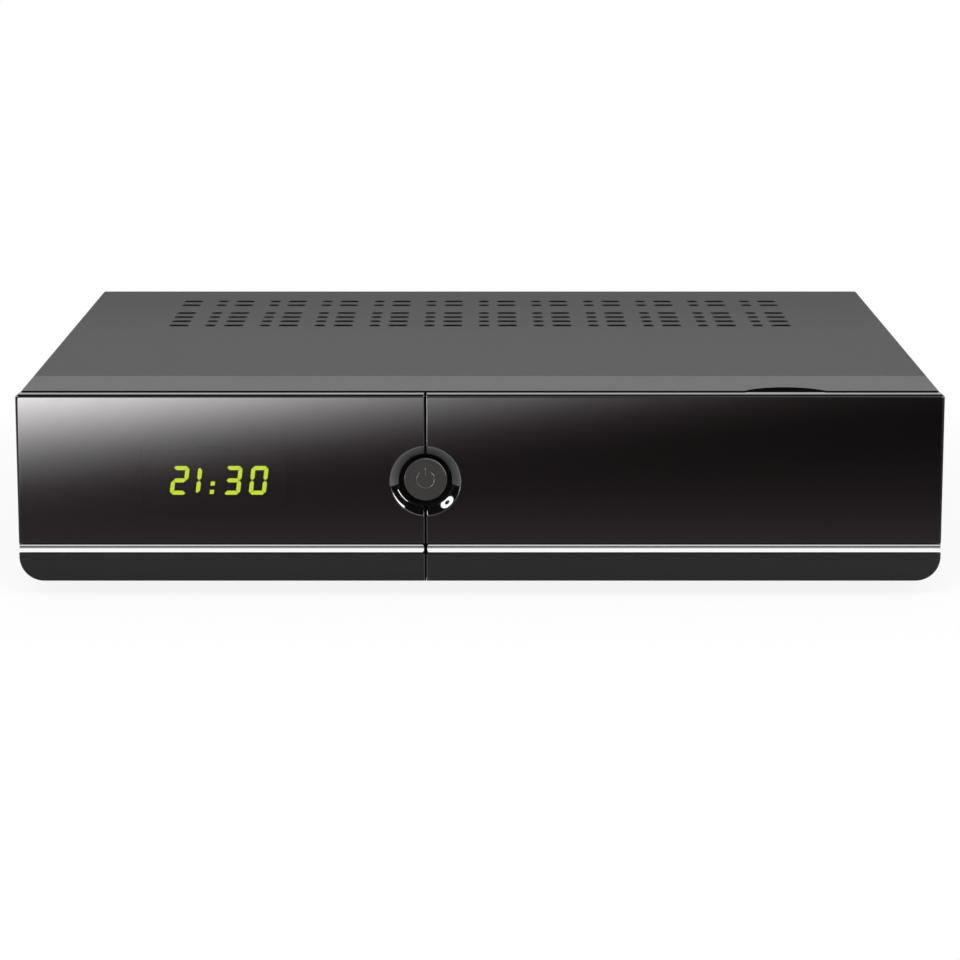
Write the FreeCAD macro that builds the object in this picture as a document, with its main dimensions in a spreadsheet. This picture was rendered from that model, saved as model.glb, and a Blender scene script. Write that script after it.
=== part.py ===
import FreeCAD, Part
import math
import os
import re

import Sketcher
from FreeCAD import Rotation, Vector

# A satellite television receiver, in millimetres. +Z is up, the front faces -Y and +X is to the right
# of someone who looks at the front. The origin is under the middle of the box, where its feet stand.

DRIVING_SIZES = {
    # the case
    "case_width": 280.0,
    "case_depth": 230.0,
    "case_height": 57.8,
    "foot_height": 5.0,
    "sheet": 0.8,
    "cover_inset": 0.8,
    "cover_bend": 1.0,
    "section_step": 0.3,
    "pan_wall_height": 26.0,
    # the two front sections and the gap around them
    "front_thickness": 4.5,
    "skin": 2.5,
    "skirt": 1.5,
    "groove": 1.0,
    "top_round": 1.2,
    "bottom_round": 7.5,
    "edge_round": 0.9,
    "seam_x": -16.5,
    "seam_gap": 0.6,
    "seam_round": 0.25,
    "cheek_gap": 0.1,
    "panel_height": 46.0,
    "strip_height": 2.8,
    "strip_gap": 0.2,
    "strip_set_back": 0.15,
    "strip_ledge": 0.6,
    "strip_end_round": 1.1,
    # the bezel behind them
    "bezel_depth": 28.1,
    "bezel_wall": 2.0,
    "recess_depth": 3.6,
    "recess_border": 4.0,
    "notch_inset": 47.6,
    "notch_chord": 24.5,
    "notch_reach": 6.7,
    "notch_height": 12.0,
    # the flap's hinge and catch
    "pivot_height": 4.5,
    "pivot_back": 2.1,
    "pin_radius": 1.0,
    "pin_clearance": 0.05,
    "pin_reach": 6.0,
    "ear_radius": 1.9,
    "ear_width": 3.0,
    "swing_clearance": 0.5,
    "catch_x": 50.0,
    "catch_drop": 7.0,
    "catch_width": 12.0,
    "catch_height": 4.0,
    "catch_plate_thickness": 0.5,
    "catch_gap": 0.3,
    # the power button and its dish
    "button_drop": 26.85,
    "button_radius": 6.7,
    "button_set_back": 3.0,
    "button_round": 0.6,
    "button_travel": 0.6,
    "dish_mouth_radius": 10.85,
    "dish_throat_radius": 8.1,
    "dish_depth": 3.2,
    # the keys behind the flap
    "key_drop": 21.0,
    "key_width": 9.0,
    "key_height": 5.0,
    "key_round": 1.2,
    "key_stand": 1.0,
    "first_key_x": 19.0,
    "key_pitch": 15.0,
    "pusher_clearance": 0.2,
    "pusher_flange": 1.0,
    "flange_gap": 0.1,
    "travel_margin": 0.1,
    # the front board and what it carries
    "board_thickness": 1.6,
    "switch_size": 6.0,
    "switch_body_depth": 3.5,
    "plunger_radius": 1.7,
    "plunger_length": 1.1,
    "front_board_margin": 6.0,
    # the display
    "display_inset": 61.0,
    "display_drop": 26.9,
    "display_gap": 0.3,
    "display_width": 40.0,
    "display_height": 15.0,
    "window_margin": 3.0,
    "window_thickness": 1.5,
    "digit_height": 8.85,
    "digit_width": 5.2,
    "digit_pitch": 7.84,
    "digit_slant": 7.0,
    "colon_low": 0.1,
    "colon_high": 0.39,
    "colon_space": 0.4,
    "colon_offset": 12.73,
    "segment_width": 1.25,
    "segment_chamfer": 0.9,
    "segment_break": 0.08,
    "segment_thickness": 0.2,
    # vents in the cover
    "vent_first_row": 143.2,
    "vent_row_pitch": 10.03,
    "vent_column_pitch": 18.8,
    "long_vent_columns": 12.0,
    "long_vent_length": 6.6,
    "short_vent_length": 3.6,
    "short_vent_offset": 10.8,
    "vent_width": 3.4,
    "strip_line": 0.4,
    "ear_gap": 0.6,
    "pin_end": 0.5,
    "pin_depth": 3.0,
    # bosses, tabs and screws
    "boss_radius": 3.0,
    "boss_inset": 5.0,
    "middle_boss_gap": 17.0,
    "small_screw_radius": 1.2,
    "small_screw_length": 5.0,
    "tab_inset": 42.0,
    "tab_width": 16.0,
    "tab_reach": 12.0,
    "screw_radius": 1.5,
    "screw_clearance": 0.1,
    "case_head_radius": 3.0,
    "case_head_height": 0.7,
    "board_head_radius": 2.6,
    "board_head_height": 1.8,
    "front_board_low": 13.5,
    "front_board_high": 57.0,
    "front_board_slack": 0.6,
    # boards and what stands on them
    "standoff_height": 6.0,
    "standoff_radius": 3.0,
    "standoff_inset": 5.0,
    "board_side_gap": 7.0,
    "board_split": 6.0,
    "board_overhang": 4.5,
    "main_board_front": 22.0,
    "board_rear_gap": 1.0,
    "power_board_front": 78.0,
    "card_reader_x": 27.0,
    "card_reader_width": 60.0,
    "card_reader_height": 6.0,
    "card_reader_length": 58.0,
    "card_slot_width": 54.6,
    "card_slot_height": 1.6,
    "front_socket_inset": 40.0,
    "usb_width": 13.2,
    "usb_height": 5.8,
    "usb_length": 20.0,
    "usb_shell": 0.5,
    "usb_tongue": 1.8,
    "chip_x": 10.0,
    "chip_y": 112.0,
    "chip_size": 32.0,
    "chip_height": 2.0,
    "sink_base": 2.0,
    "sink_height": 12.0,
    "sink_fins": 9.0,
    "fin_thickness": 1.2,
    "capacitor_radius": 4.0,
    "capacitor_height": 12.0,
    "capacitor_pitch": 11.0,
    "tuner_height": 16.0,
    "tuner_length": 46.0,
    "tuner_wall": 0.6,
    "transformer_offset": 0.5,
    "transformer_y": 160.0,
    "transformer_width": 30.0,
    "transformer_depth": 26.0,
    "transformer_height": 26.0,
    "core_thickness": 8.0,
    "reservoir_radius": 9.0,
    "reservoir_height": 26.0,
    "plate_sink_length": 34.0,
    "plate_sink_height": 28.0,
    "plate_sink_thickness": 2.5,
    "ribbon_inset": 16.0,
    "ribbon_width": 20.0,
    "ribbon_thickness": 1.0,
    "ribbon_bend": 5.0,
    "plug_height": 6.0,
    "plug_thickness": 5.0,
    "harness_y": 104.0,
    "harness_width": 12.0,
    "harness_thickness": 1.6,
    "harness_rise": 12.0,
    # sockets in the rear panel
    "socket_slack": 0.2,
    "inlet_gap": 11.9,
    "switch_gap": 5.8,
    "serial_gap": 12.8,
    "network_gap": 4.5,
    "hdmi_gap": 5.5,
    "phono_gap": 1.5,
    "scart_gap": 3.0,
    "tuner_gap": 5.0,
    "tuner_side_gap": 5.0,
    "aerial_reach": 12.0,
    "aerial_radius": 4.76,
    "aerial_core_radius": 3.4,
    "aerial_hole_radius": 0.7,
    "aerial_hole_depth": 8.0,
    "aerial_nut_radius": 6.4,
    "aerial_nut_height": 2.0,
    "aerial_core_set_back": 0.5,
    "aerial_pitch": 20.0,
    "scart_width": 48.0,
    "scart_height": 18.0,
    "scart_depth": 20.0,
    "scart_rim": 2.6,
    "scart_well": 9.0,
    "scart_tongue": 6.0,
    "phono_pitch": 15.0,
    "phono_case": 13.0,
    "phono_rise": 16.0,
    "phono_depth": 12.0,
    "phono_radius": 4.15,
    "phono_hole_radius": 1.65,
    "phono_collar_radius": 5.4,
    "phono_collar": 1.0,
    "phono_reach": 9.0,
    "hdmi_width": 15.0,
    "hdmi_height": 5.6,
    "hdmi_depth": 12.0,
    "hdmi_well": 9.0,
    "network_width": 16.0,
    "network_height": 13.4,
    "network_depth": 18.0,
    "network_well_width": 11.8,
    "network_well_height": 7.0,
    "network_well": 12.0,
    "network_floor": 1.7,
    "serial_width": 31.0,
    "serial_height": 12.5,
    "serial_depth": 9.0,
    "serial_shell_width": 17.0,
    "serial_shell_height": 8.4,
    "serial_reach": 5.5,
    "serial_pin_pitch": 2.8,
    "serial_pin_radius": 0.5,
    "serial_post_spacing": 25.0,
    "serial_post_radius": 2.4,
    "socket_stand_out": 0.8,
    "mains_height": 36.0,
    "inlet_width": 26.0,
    "inlet_height": 16.0,
    "inlet_depth": 16.0,
    "inlet_flange": 1.5,
    "inlet_well_width": 20.0,
    "inlet_well_height": 11.0,
    "inlet_well": 12.5,
    "inlet_pin_radius": 1.15,
    "inlet_pin_pitch": 8.6,
    "inlet_pin_length": 9.0,
    "switch_width": 13.0,
    "switch_height": 19.5,
    "switch_depth": 15.0,
    "switch_flange": 1.2,
    "rocker_width": 9.6,
    "rocker_height": 15.6,
    "rocker_rise": 1.6,
    "rocker_dip": 1.06667,
    "rocker_heel": 2.6,
    "rocker_heel_depth": 3.0,
    "rocker_depth": 6.0,
    "rocker_tilt": 8.0,
    "rocker_gap": 0.3,
    "rocker_pin_radius": 1.0,
    # feet and floor
    "foot_radius": 10.0,
    "foot_taper": 1.0,
    "foot_inset": 32.0,
    "foot_front": 52.0,
    "foot_back": 26.0,
    "foot_well_radius": 4.2,
    "foot_well": 2.2,
    "side_screw_height": 14.0,
    "side_screw_inset": 26.0,
    "floor_slots": 9.0,
    "floor_slot_pitch": 9.0,
    "floor_slot_length": 34.0,
    "floor_slot_width": 3.2,
    "flange_depth": 12.0,
    "flange_screw_inset": 50.0,
    "rocker_side_gap": 0.3,
    "mains_height": 31.0,
}

WORKED_OUT_PLACES = {
    "half_width": "case_width / 2",
    "front": "-(case_depth + aerial_reach) / 2",
    "back": "front + case_depth",
    "bottom": "foot_height",
    "top": "foot_height + case_height",
    "section_back": "front + front_thickness",
    "rim": "section_back + groove",
    "recess_back": "rim + recess_depth",
    "wall_back": "recess_back + bezel_wall",
    "bezel_back": "rim + bezel_depth",
    "section_top": "top - section_step",
    "cover_half": "half_width - cover_inset",
    "inner_half": "cover_half - sheet",
    "floor_top": "bottom + sheet",
    "cover_under": "top - sheet",
    "panel_inside": "back - sheet",
    "seam_left": "seam_x - seam_gap / 2",
    "seam_right": "seam_x + seam_gap / 2",
    "cheek_side": "seam_right - cheek_gap",
    "panel_low": "top - panel_height",
    "strip_top": "panel_low - strip_gap",
    "strip_low": "strip_top - strip_height",
    "trim_top": "strip_low - strip_gap",
    "pivot_y": "section_back + pivot_back",
    "pivot_z": "bottom + pivot_height",
    "relief_back": "pivot_y + pivot_height + swing_clearance",
    "relief_top": "pivot_z - pivot_back + swing_clearance",
    "button_z": "top - button_drop",
    "key_z": "top - key_drop",
    "display_z": "top - display_drop",
    "guide_radius": "button_radius + pusher_clearance",
    "flange_front": "wall_back + flange_gap",
    "flange_back": "flange_front + pusher_flange",
    "plunger_tip": "flange_back + button_travel + travel_margin",
    "switch_front": "plunger_tip + plunger_length",
    "front_board_face": "switch_front + switch_body_depth",
    "front_board_back": "front_board_face + board_thickness",
    "catch_z": "top - catch_drop",
    "notch_radius": "(notch_chord ^ 2 / 4 + notch_reach ^ 2) / (2 * notch_reach)",
    "notch_centre_y": "rim + notch_reach - notch_radius",
    "notch_floor": "top - notch_height",
    "display_face": "front + window_thickness + display_gap + segment_thickness",
    "mains_z": "bottom + mains_height",
    "rocker_y": "back + switch_flange - rocker_pin_radius",
    "board_low": "floor_top + standoff_height",
    "notch_x": "half_width - notch_inset",
    "display_x": "display_inset - half_width",
    "middle_boss_x": "display_x + display_width / 2 + middle_boss_gap",
    "tab_x": "half_width - tab_inset",
    "foot_x": "half_width - foot_inset",
    "flange_screw_x": "half_width - flange_screw_inset",
    "front_socket_x": "half_width - front_socket_inset",
    # the rear sockets stand in one row, and what the row has to spare is shared between them
    "inlet_half": "inlet_width / 2 + inlet_flange",
    "switch_half": "switch_width / 2 + switch_flange",
    "phono_half": "(phono_pitch + phono_case) / 2",
    "left_row": "2 * inlet_half + 2 * switch_half + serial_width + network_width",
    "right_row": "hdmi_width + 2 * phono_half + scart_width + 2 * aerial_pitch - tuner_wall",
    "left_gaps": "inlet_gap + switch_gap + serial_gap + network_gap",
    "right_gaps": "hdmi_gap + phono_gap + scart_gap + tuner_gap + tuner_side_gap",
    "spread": "(2 * inner_half - left_row - right_row) / (left_gaps + right_gaps)",
    "inlet_x": "inlet_gap * spread + inlet_half - inner_half",
    "switch_x": "inlet_x + inlet_half + switch_gap * spread + switch_half",
    "serial_x": "switch_x + switch_half + serial_gap * spread + serial_width / 2",
    "network_x": "serial_x + serial_width / 2 + network_gap * spread + network_width / 2",
    "hdmi_x": "network_x + network_width / 2 + hdmi_gap * spread + hdmi_width / 2",
    "phono_x": "hdmi_x + hdmi_width / 2 + phono_gap * spread + phono_half",
    "scart_x": "phono_x + phono_half + scart_gap * spread + scart_width / 2",
    "aerial_x": "scart_x + scart_width / 2 + tuner_gap * spread + aerial_pitch",
    # the two boards meet behind the gap between the mains switch and the serial socket
    "main_board_left": "serial_x - serial_width / 2 - board_overhang * spread",
    "main_board_right": "half_width - board_side_gap",
    "power_board_left": "board_side_gap - half_width",
    "power_board_right": "main_board_left - board_split * spread",
    "transformer_x": "(power_board_left + power_board_right) / 2 - transformer_offset",
    "ribbon_x": "main_board_left + ribbon_inset",
    "board_top": "board_low + board_thickness",
}

NAME = re.compile(r"[a-z][a-z_]*")
TURNED = {
    "x": Rotation(Vector(0, 1, 0), 90),
    "y": Rotation(Vector(1, 0, 0), -90),
    "z": Rotation(),
}
SCALE_OF_NORMAL = {"XY_Plane": 1, "XZ_Plane": -1, "YZ_Plane": 1}

document = FreeCAD.newDocument("satellite_receiver")
sizes = document.addObject("Spreadsheet::Sheet", "Sizes")
for row, (size_name, size_value) in enumerate(DRIVING_SIZES.items(), start=1):
    sizes.set(f"A{row}", size_name)
    sizes.set(f"B{row}", str(size_value))
    sizes.setAlias(f"B{row}", size_name)
document.recompute()

places = document.addObject("App::VarSet", "Places")
owner = dict.fromkeys(DRIVING_SIZES, "Sizes")
pieces = {}


def spelled_out(expression):
    """The expression with the object that holds each size in front of its name."""
    return NAME.sub(lambda word: f"{owner[word[0]]}.{word[0]}" if word[0] in owner else word[0], expression)


def bind(thing, path, expression):
    thing.setExpression(path, spelled_out(expression))


def value(expression):
    """The expression's number now, for a sketch's first guess and for counting."""
    return float(sizes.evalExpression(spelled_out(expression)))


for place_name, place_expression in WORKED_OUT_PLACES.items():
    places.addProperty("App::PropertyFloat", place_name, "Places")
    bind(places, place_name, place_expression)
    owner[place_name] = "Places"
document.recompute()


def keep(name, thing):
    """Name a finished piece of the receiver: its label is its file's name."""
    thing.Label = name
    pieces[name] = thing
    return thing


def move(thing, x="0", y="0", z="0"):
    bind(thing, "Placement.Base.x", x)
    bind(thing, "Placement.Base.y", y)
    bind(thing, "Placement.Base.z", z)
    return thing


def block(x, y, z):
    """A box from its low and high side along each axis."""
    box = document.addObject("Part::Box", "Block")
    bind(box, "Length", f"({x[1]}) - ({x[0]})")
    bind(box, "Width", f"({y[1]}) - ({y[0]})")
    bind(box, "Height", f"({z[1]}) - ({z[0]})")
    return move(box, x[0], y[0], z[0])


def around(middle, width):
    """The low and high side of a width that is centred on a middle."""
    return f"{middle} - ({width}) / 2", f"{middle} + ({width}) / 2"


def start_of(axis, low, first, second):
    """A round piece's first end: low along its axis, and its centre across it in X, Y, Z order."""
    across = [first, second]
    return [low if name == axis else across.pop(0) for name in "xyz"]


def rod(axis, radius, span, first, second):
    """A cylinder along an axis, from span's low to its high."""
    cylinder = document.addObject("Part::Cylinder", "Rod")
    cylinder.Placement = FreeCAD.Placement(Vector(), TURNED[axis])
    bind(cylinder, "Radius", radius)
    bind(cylinder, "Height", f"({span[1]}) - ({span[0]})")
    return move(cylinder, *start_of(axis, span[0], first, second))


def cone(axis, low_radius, high_radius, span, first, second):
    tapered = document.addObject("Part::Cone", "Taper")
    tapered.Placement = FreeCAD.Placement(Vector(), TURNED[axis])
    bind(tapered, "Radius1", low_radius)
    bind(tapered, "Radius2", high_radius)
    bind(tapered, "Height", f"({span[1]}) - ({span[0]})")
    return move(tapered, *start_of(axis, span[0], first, second))


def join(*parts):
    """One solid from parts that touch or overlap."""
    if len(parts) == 1:
        return parts[0]
    joined = document.addObject("Part::MultiFuse", "Join")
    joined.Shapes = list(parts)
    joined.Refine = True
    return joined


def cut(base, *tools):
    trimmed = document.addObject("Part::Cut", "Trimmed")
    trimmed.Base = base
    trimmed.Tool = join(*tools)
    return trimmed


def overlap(first, second):
    common = document.addObject("Part::Common", "Common")
    common.Base = first
    common.Tool = second
    return common


def group(*parts):
    """Separate solids that are kept as one piece, such as a set of screws."""
    grouped = document.addObject("Part::Compound", "Group")
    grouped.Links = list(parts)
    return grouped


def new_body():
    return document.addObject("PartDesign::Body", "Body")


def draw(body, role, level):
    """A sketch on one of the body's own origin planes, level along that plane's axis."""
    sketch = body.newObject("Sketcher::SketchObject", "Sketch")
    plane = next(feature for feature in body.Origin.OriginFeatures if feature.Role == role)
    sketch.AttachmentSupport = (plane, "")
    sketch.MapMode = "FlatFace"
    bind(sketch, "AttachmentOffset.Base.z", f"{SCALE_OF_NORMAL[role]} * ({level})")
    return sketch


def fix_point(sketch, geometry, end, x, y):
    """Hold a sketch point at two expressions."""
    for kind, expression in (("DistanceX", x), ("DistanceY", y)):
        constraint = sketch.addConstraint(Sketcher.Constraint(kind, -1, 1, geometry, end, value(expression)))
        bind(sketch, f"Constraints[{constraint}]", expression)


def outline(sketch, *corners):
    """A closed outline. A corner is (x, y), or (x, y, radius) where it is rounded."""
    points = [Vector(value(corner[0]), value(corner[1]), 0) for corner in corners]
    radii = [value(corner[2]) if len(corner) > 2 else 0 for corner in corners]
    count = len(corners)
    arrive, leave, centres = [], [], []
    for index, (point, radius) in enumerate(zip(points, radii)):
        back = (points[index - 1] - point).normalize()
        ahead = (points[(index + 1) % count] - point).normalize()
        half_angle = back.getAngle(ahead) / 2
        reach = radius / math.tan(half_angle)
        arrive.append(point + back * reach)
        leave.append(point + ahead * reach)
        middle = back + ahead
        centres.append(point + middle.normalize() * (radius / math.sin(half_angle)))
    lines = [sketch.addGeometry(Part.LineSegment(leave[index - 1], arrive[index])) for index in range(count)]
    for index, corner in enumerate(corners):
        line, following = lines[index], lines[(index + 1) % count]
        if not radii[index]:
            sketch.addConstraint(Sketcher.Constraint("Coincident", line, 2, following, 1))
            fix_point(sketch, line, 2, corner[0], corner[1])
            continue
        centre = centres[index]
        start, end = arrive[index] - centre, leave[index] - centre
        turns_left = start.cross(end).z > 0
        first, last = (start, end) if turns_left else (end, start)
        circle = Part.Circle(centre, Vector(0, 0, 1), radii[index])
        low, high = math.atan2(first.y, first.x), math.atan2(last.y, last.x)
        arc = sketch.addGeometry(Part.ArcOfCircle(circle, low, high))
        mark = sketch.addGeometry(Part.Point(points[index]), True)
        sketch.addConstraint(Sketcher.Constraint("Tangent", line, 2, arc, 1 if turns_left else 2))
        sketch.addConstraint(Sketcher.Constraint("Tangent", following, 1, arc, 2 if turns_left else 1))
        fix_point(sketch, mark, 1, corner[0], corner[1])
        sketch.addConstraint(Sketcher.Constraint("PointOnObject", mark, 1, line))
        sketch.addConstraint(Sketcher.Constraint("PointOnObject", mark, 1, following))
        constraint = sketch.addConstraint(Sketcher.Constraint("Radius", arc, radii[index]))
        bind(sketch, f"Constraints[{constraint}]", corner[2])


def rounded_slot(sketch, x, y, length, width):
    """A slot with round ends, along the sketch's first axis and centred on x and y."""
    radius = value(width) / 2
    half_run = (value(length) - value(width)) / 2
    middle = Vector(value(x), value(y), 0)
    up = Vector(0, radius, 0)
    ends = [middle + Vector(half_run, 0, 0), middle - Vector(half_run, 0, 0)]
    right = sketch.addGeometry(Part.ArcOfCircle(Part.Circle(ends[0], Vector(0, 0, 1), radius),
                                                -math.pi / 2, math.pi / 2))
    left = sketch.addGeometry(Part.ArcOfCircle(Part.Circle(ends[1], Vector(0, 0, 1), radius),
                                               math.pi / 2, 3 * math.pi / 2))
    upper = sketch.addGeometry(Part.LineSegment(ends[0] + up, ends[1] + up))
    lower = sketch.addGeometry(Part.LineSegment(ends[1] - up, ends[0] - up))
    sketch.addConstraint(Sketcher.Constraint("Tangent", right, 2, upper, 1))
    sketch.addConstraint(Sketcher.Constraint("Tangent", upper, 2, left, 1))
    sketch.addConstraint(Sketcher.Constraint("Tangent", left, 2, lower, 1))
    sketch.addConstraint(Sketcher.Constraint("Tangent", lower, 2, right, 1))
    sketch.addConstraint(Sketcher.Constraint("Equal", left, right))
    fix_point(sketch, right, 3, f"{x} + (({length}) - ({width})) / 2", y)
    fix_point(sketch, left, 3, f"{x} - (({length}) - ({width})) / 2", y)
    constraint = sketch.addConstraint(Sketcher.Constraint("Radius", right, radius))
    bind(sketch, f"Constraints[{constraint}]", f"({width}) / 2")


def pad(body, sketch, length):
    """Fill a sketch to one side: up or to the right of its plane, or forwards from it."""
    solid = body.newObject("PartDesign::Pad", "Pad")
    solid.Profile = sketch
    bind(solid, "Length", length)
    return solid


def pocket(body, sketch, length):
    """Cut a sketch away on the far side of its plane from where a pad would fill it."""
    hollow = body.newObject("PartDesign::Pocket", "Pocket")
    hollow.Profile = sketch
    bind(hollow, "Length", length)
    return hollow


def slab(role, span, *corners):
    """A body with one outline, filled from span's low to its high along the plane's axis."""
    body = new_body()
    level = span[1] if role == "XZ_Plane" else span[0]
    sketch = draw(body, role, level)
    outline(sketch, *corners)
    pad(body, sketch, f"({span[1]}) - ({span[0]})")
    return body


def edges_of(feature, wanted):
    document.recompute()
    return [f"Edge{number}" for number, edge in enumerate(feature.Shape.Edges, start=1) if wanted(edge)]


def soften(body, radius, wanted):
    """Round the body's edges that wanted picks."""
    base = body.Tip
    names = edges_of(base, wanted)
    fillet = body.newObject("PartDesign::Fillet", "Fillet")
    fillet.Base = (base, names)
    bind(fillet, "Radius", radius)
    return fillet


def lies_at(edge, axis, level):
    """Whether an edge lies in the plane across an axis at a level."""
    box = edge.BoundBox
    low, high = {"x": (box.XMin, box.XMax), "y": (box.YMin, box.YMax), "z": (box.ZMin, box.ZMax)}[axis]
    return abs(low - level) < CLOSE and abs(high - level) < CLOSE


CLOSE = 0.001


# The two front sections: a fixed one on the left and the flap on the right, cut apart by one seam.
SECTIONS = {
    "left": {"outer": "-half_width", "inwards": "1", "seam": "seam_left"},
    "flap": {"outer": "half_width", "inwards": "-1", "seam": "seam_right"},
}


def section_corners(section, low, high, inset="0", low_round=None, high_round=None):
    """The section's outline between two heights, inset from its outer edge and from the seam."""
    outer = f"{section['outer']} + {section['inwards']} * ({inset})"
    seam = f"{section['seam']} - {section['inwards']} * ({inset})"
    lower_outer = (outer, low, low_round) if low_round else (outer, low)
    upper_outer = (outer, high, high_round) if high_round else (outer, high)
    return lower_outer, (seam, low), (seam, high), upper_outer


def soften_front(body, section, outer_band):
    """Round a front piece's outer edges well and its seam edge a little."""
    front, outer, band = value("front"), value(section["outer"]), value(outer_band)
    ends = value("bottom"), value("section_top")

    def on_the_rim(edge):
        centre = edge.CenterOfGravity
        on_an_end = min(abs(centre.z - end) for end in ends) < CLOSE
        return lies_at(edge, "y", front) and (abs(centre.x - outer) < band or on_an_end)

    def on_the_seam(edge):
        return lies_at(edge, "y", front) and lies_at(edge, "x", value(section["seam"]))

    soften(body, "edge_round", on_the_rim)
    soften(body, "seam_round", on_the_seam)


def gloss_panel(section):
    """The tall upper piece of a section, as thick as the section is."""
    body = slab("XZ_Plane", ("front", "section_back"),
                *section_corners(section, "panel_low", "section_top", high_round="top_round"))
    soften_front(body, section, "top_round")
    return body


def hollow_back(body, *corners):
    """Take the carrier's place out of a front piece, behind its skin."""
    sketch = draw(body, "XZ_Plane", "front + skin")
    outline(sketch, *corners)
    pocket(body, sketch, "front_thickness - skin")


def lower_trim(section):
    body = slab("XZ_Plane", ("front", "section_back"),
                *section_corners(section, "bottom", "trim_top", low_round="bottom_round"))
    soften_front(body, section, "bottom_round")
    hollow_back(body, *section_corners(section, "bottom + skirt", "trim_top", "skirt",
                                       low_round="bottom_round - skirt"))
    return body


def bright_strip(section):
    """The strip's section is a narrow ledge, a fine groove and a wide band. Its seam end is rounded."""
    face = "front + strip_set_back"
    groove_top = "strip_top - strip_ledge"
    groove_low = "strip_top - strip_ledge - strip_line"
    profile = slab("YZ_Plane", ("-half_width", "half_width"),
                   ("front + skin", "strip_low"), (face, "strip_low", "strip_line"),
                   (face, groove_low), (f"{face} + strip_line", groove_low),
                   (f"{face} + strip_line", groove_top), (face, groove_top),
                   (face, "strip_top"), ("front + skin", "strip_top"))
    outer = f"{section['outer']} + {section['inwards']} * strip_gap"
    seam = f"{section['seam']} - {section['inwards']} * strip_gap"
    plan = slab("XZ_Plane", ("front", "front + skin"),
                (outer, "strip_low"), (seam, "strip_low", "strip_end_round"),
                (seam, "strip_top", "strip_end_round"), (outer, "strip_top"))
    return overlap(profile, plan)


def dish_tools():
    """The cone of the button's dish and the hole that the button comes through."""
    dish = cone("y", "dish_mouth_radius", "dish_throat_radius", ("front", "front + dish_depth"),
                "seam_x", "button_z")
    throat = rod("y", "dish_throat_radius", ("front", "rim"), "seam_x", "button_z")
    return dish, throat


def make_left_section():
    section = SECTIONS["left"]
    face = gloss_panel(section)
    carrier = slab("XZ_Plane", ("front + skin", "section_back"),
                   *section_corners(section, "bottom + skirt", "panel_low", "skirt",
                                    low_round="bottom_round - skirt"))
    seat = slab("XZ_Plane", ("section_back", "rim"),
                *section_corners(section, "bottom + 2 * skirt", "section_top - 2 * skirt",
                                  "2 * skirt"))
    window_x = around("display_x", "display_width + 2 * window_margin")
    window_z = around("display_z", "display_height + 2 * window_margin")
    window_y = ("front", "front + window_thickness")
    opening = block(around("display_x", "display_width + 2 * pusher_clearance"), ("front", "rim"),
                    around("display_z", "display_height + 2 * pusher_clearance"))
    window_seat = block(window_x, window_y, window_z)
    keep("left_fascia", cut(join(face, carrier, seat), opening, window_seat, *dish_tools()))
    keep("display_window", block(window_x, window_y, window_z))
    keep("left_bright_strip", bright_strip(section))
    keep("left_lower_trim", lower_trim(section))


def ear_spans():
    """Where the flap's two hinge ears lie along X, each beside the end of the flap."""
    left = "seam_right + skirt + ear_gap"
    right = "cover_half - recess_border - ear_gap"
    return (left, f"{left} + ear_width"), (f"{right} - ear_width", right)


def make_flap():
    section = SECTIONS["flap"]
    panel = gloss_panel(section)
    hollow_back(panel, *section_corners(section, "panel_low", "section_top - skirt", "skirt"))
    keep("flap_panel", cut(panel, *dish_tools()))
    plate = slab("XZ_Plane", ("front + skin", "section_back"),
                 *section_corners(section, "bottom + skirt", "section_top - skirt", "skirt",
                                  low_round="bottom_round - skirt"))
    ears, holes = [], []
    for span in ear_spans():
        ears.append(block(span, ("section_back - skirt", "pivot_y"), around("pivot_z", "2 * ear_radius")))
        ears.append(rod("x", "ear_radius", span, "pivot_y", "pivot_z"))
        holes.append(rod("x", "pin_radius + pin_clearance", span, "pivot_y", "pivot_z"))
    keep("flap_frame", cut(join(plate, *ears), *holes, *dish_tools()))
    keep("flap_bright_strip", bright_strip(section))
    keep("flap_lower_trim", lower_trim(section))
    keep("catch_plate", block(around("catch_x", "catch_width"),
                              ("section_back", "section_back + catch_plate_thickness"),
                              around("catch_z", "catch_height")))


def make_hinge_and_catch():
    left_ear, right_ear = ear_spans()
    spans = (("seam_x - pin_reach", f"{left_ear[1]} + pin_end"),
             (f"{right_ear[0]} - pin_end", "cover_half - recess_border + pin_depth"))
    keep("flap_hinge_pins", group(*[rod("x", "pin_radius", span, "pivot_y", "pivot_z") for span in spans]))
    keep("catch_magnet", block(around("catch_x", "catch_width"),
                               ("section_back + catch_plate_thickness + catch_gap", "recess_back"),
                               around("catch_z", "catch_height")))


KEY_NAMES = ("menu_key", "ok_key", "volume_down_key", "volume_up_key", "channel_down_key", "channel_up_key")


def key_x(index):
    return f"(first_key_x + {index} * key_pitch)"


def front_board_bosses():
    """Each boss that carries the front board: its x, its height and the wall that it grows from."""
    side = "(cover_half - bezel_wall - front_board_margin - boss_inset)"
    low, high = "(front_board_low + boss_inset)", "(front_board_high - boss_inset)"
    left_wall, right_wall = "rim + bezel_wall / 2", "recess_back + bezel_wall / 2"
    for height in (low, high):
        yield f"-{side}", height, left_wall
        yield "middle_boss_x", height, left_wall
        yield side, height, right_wall


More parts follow.
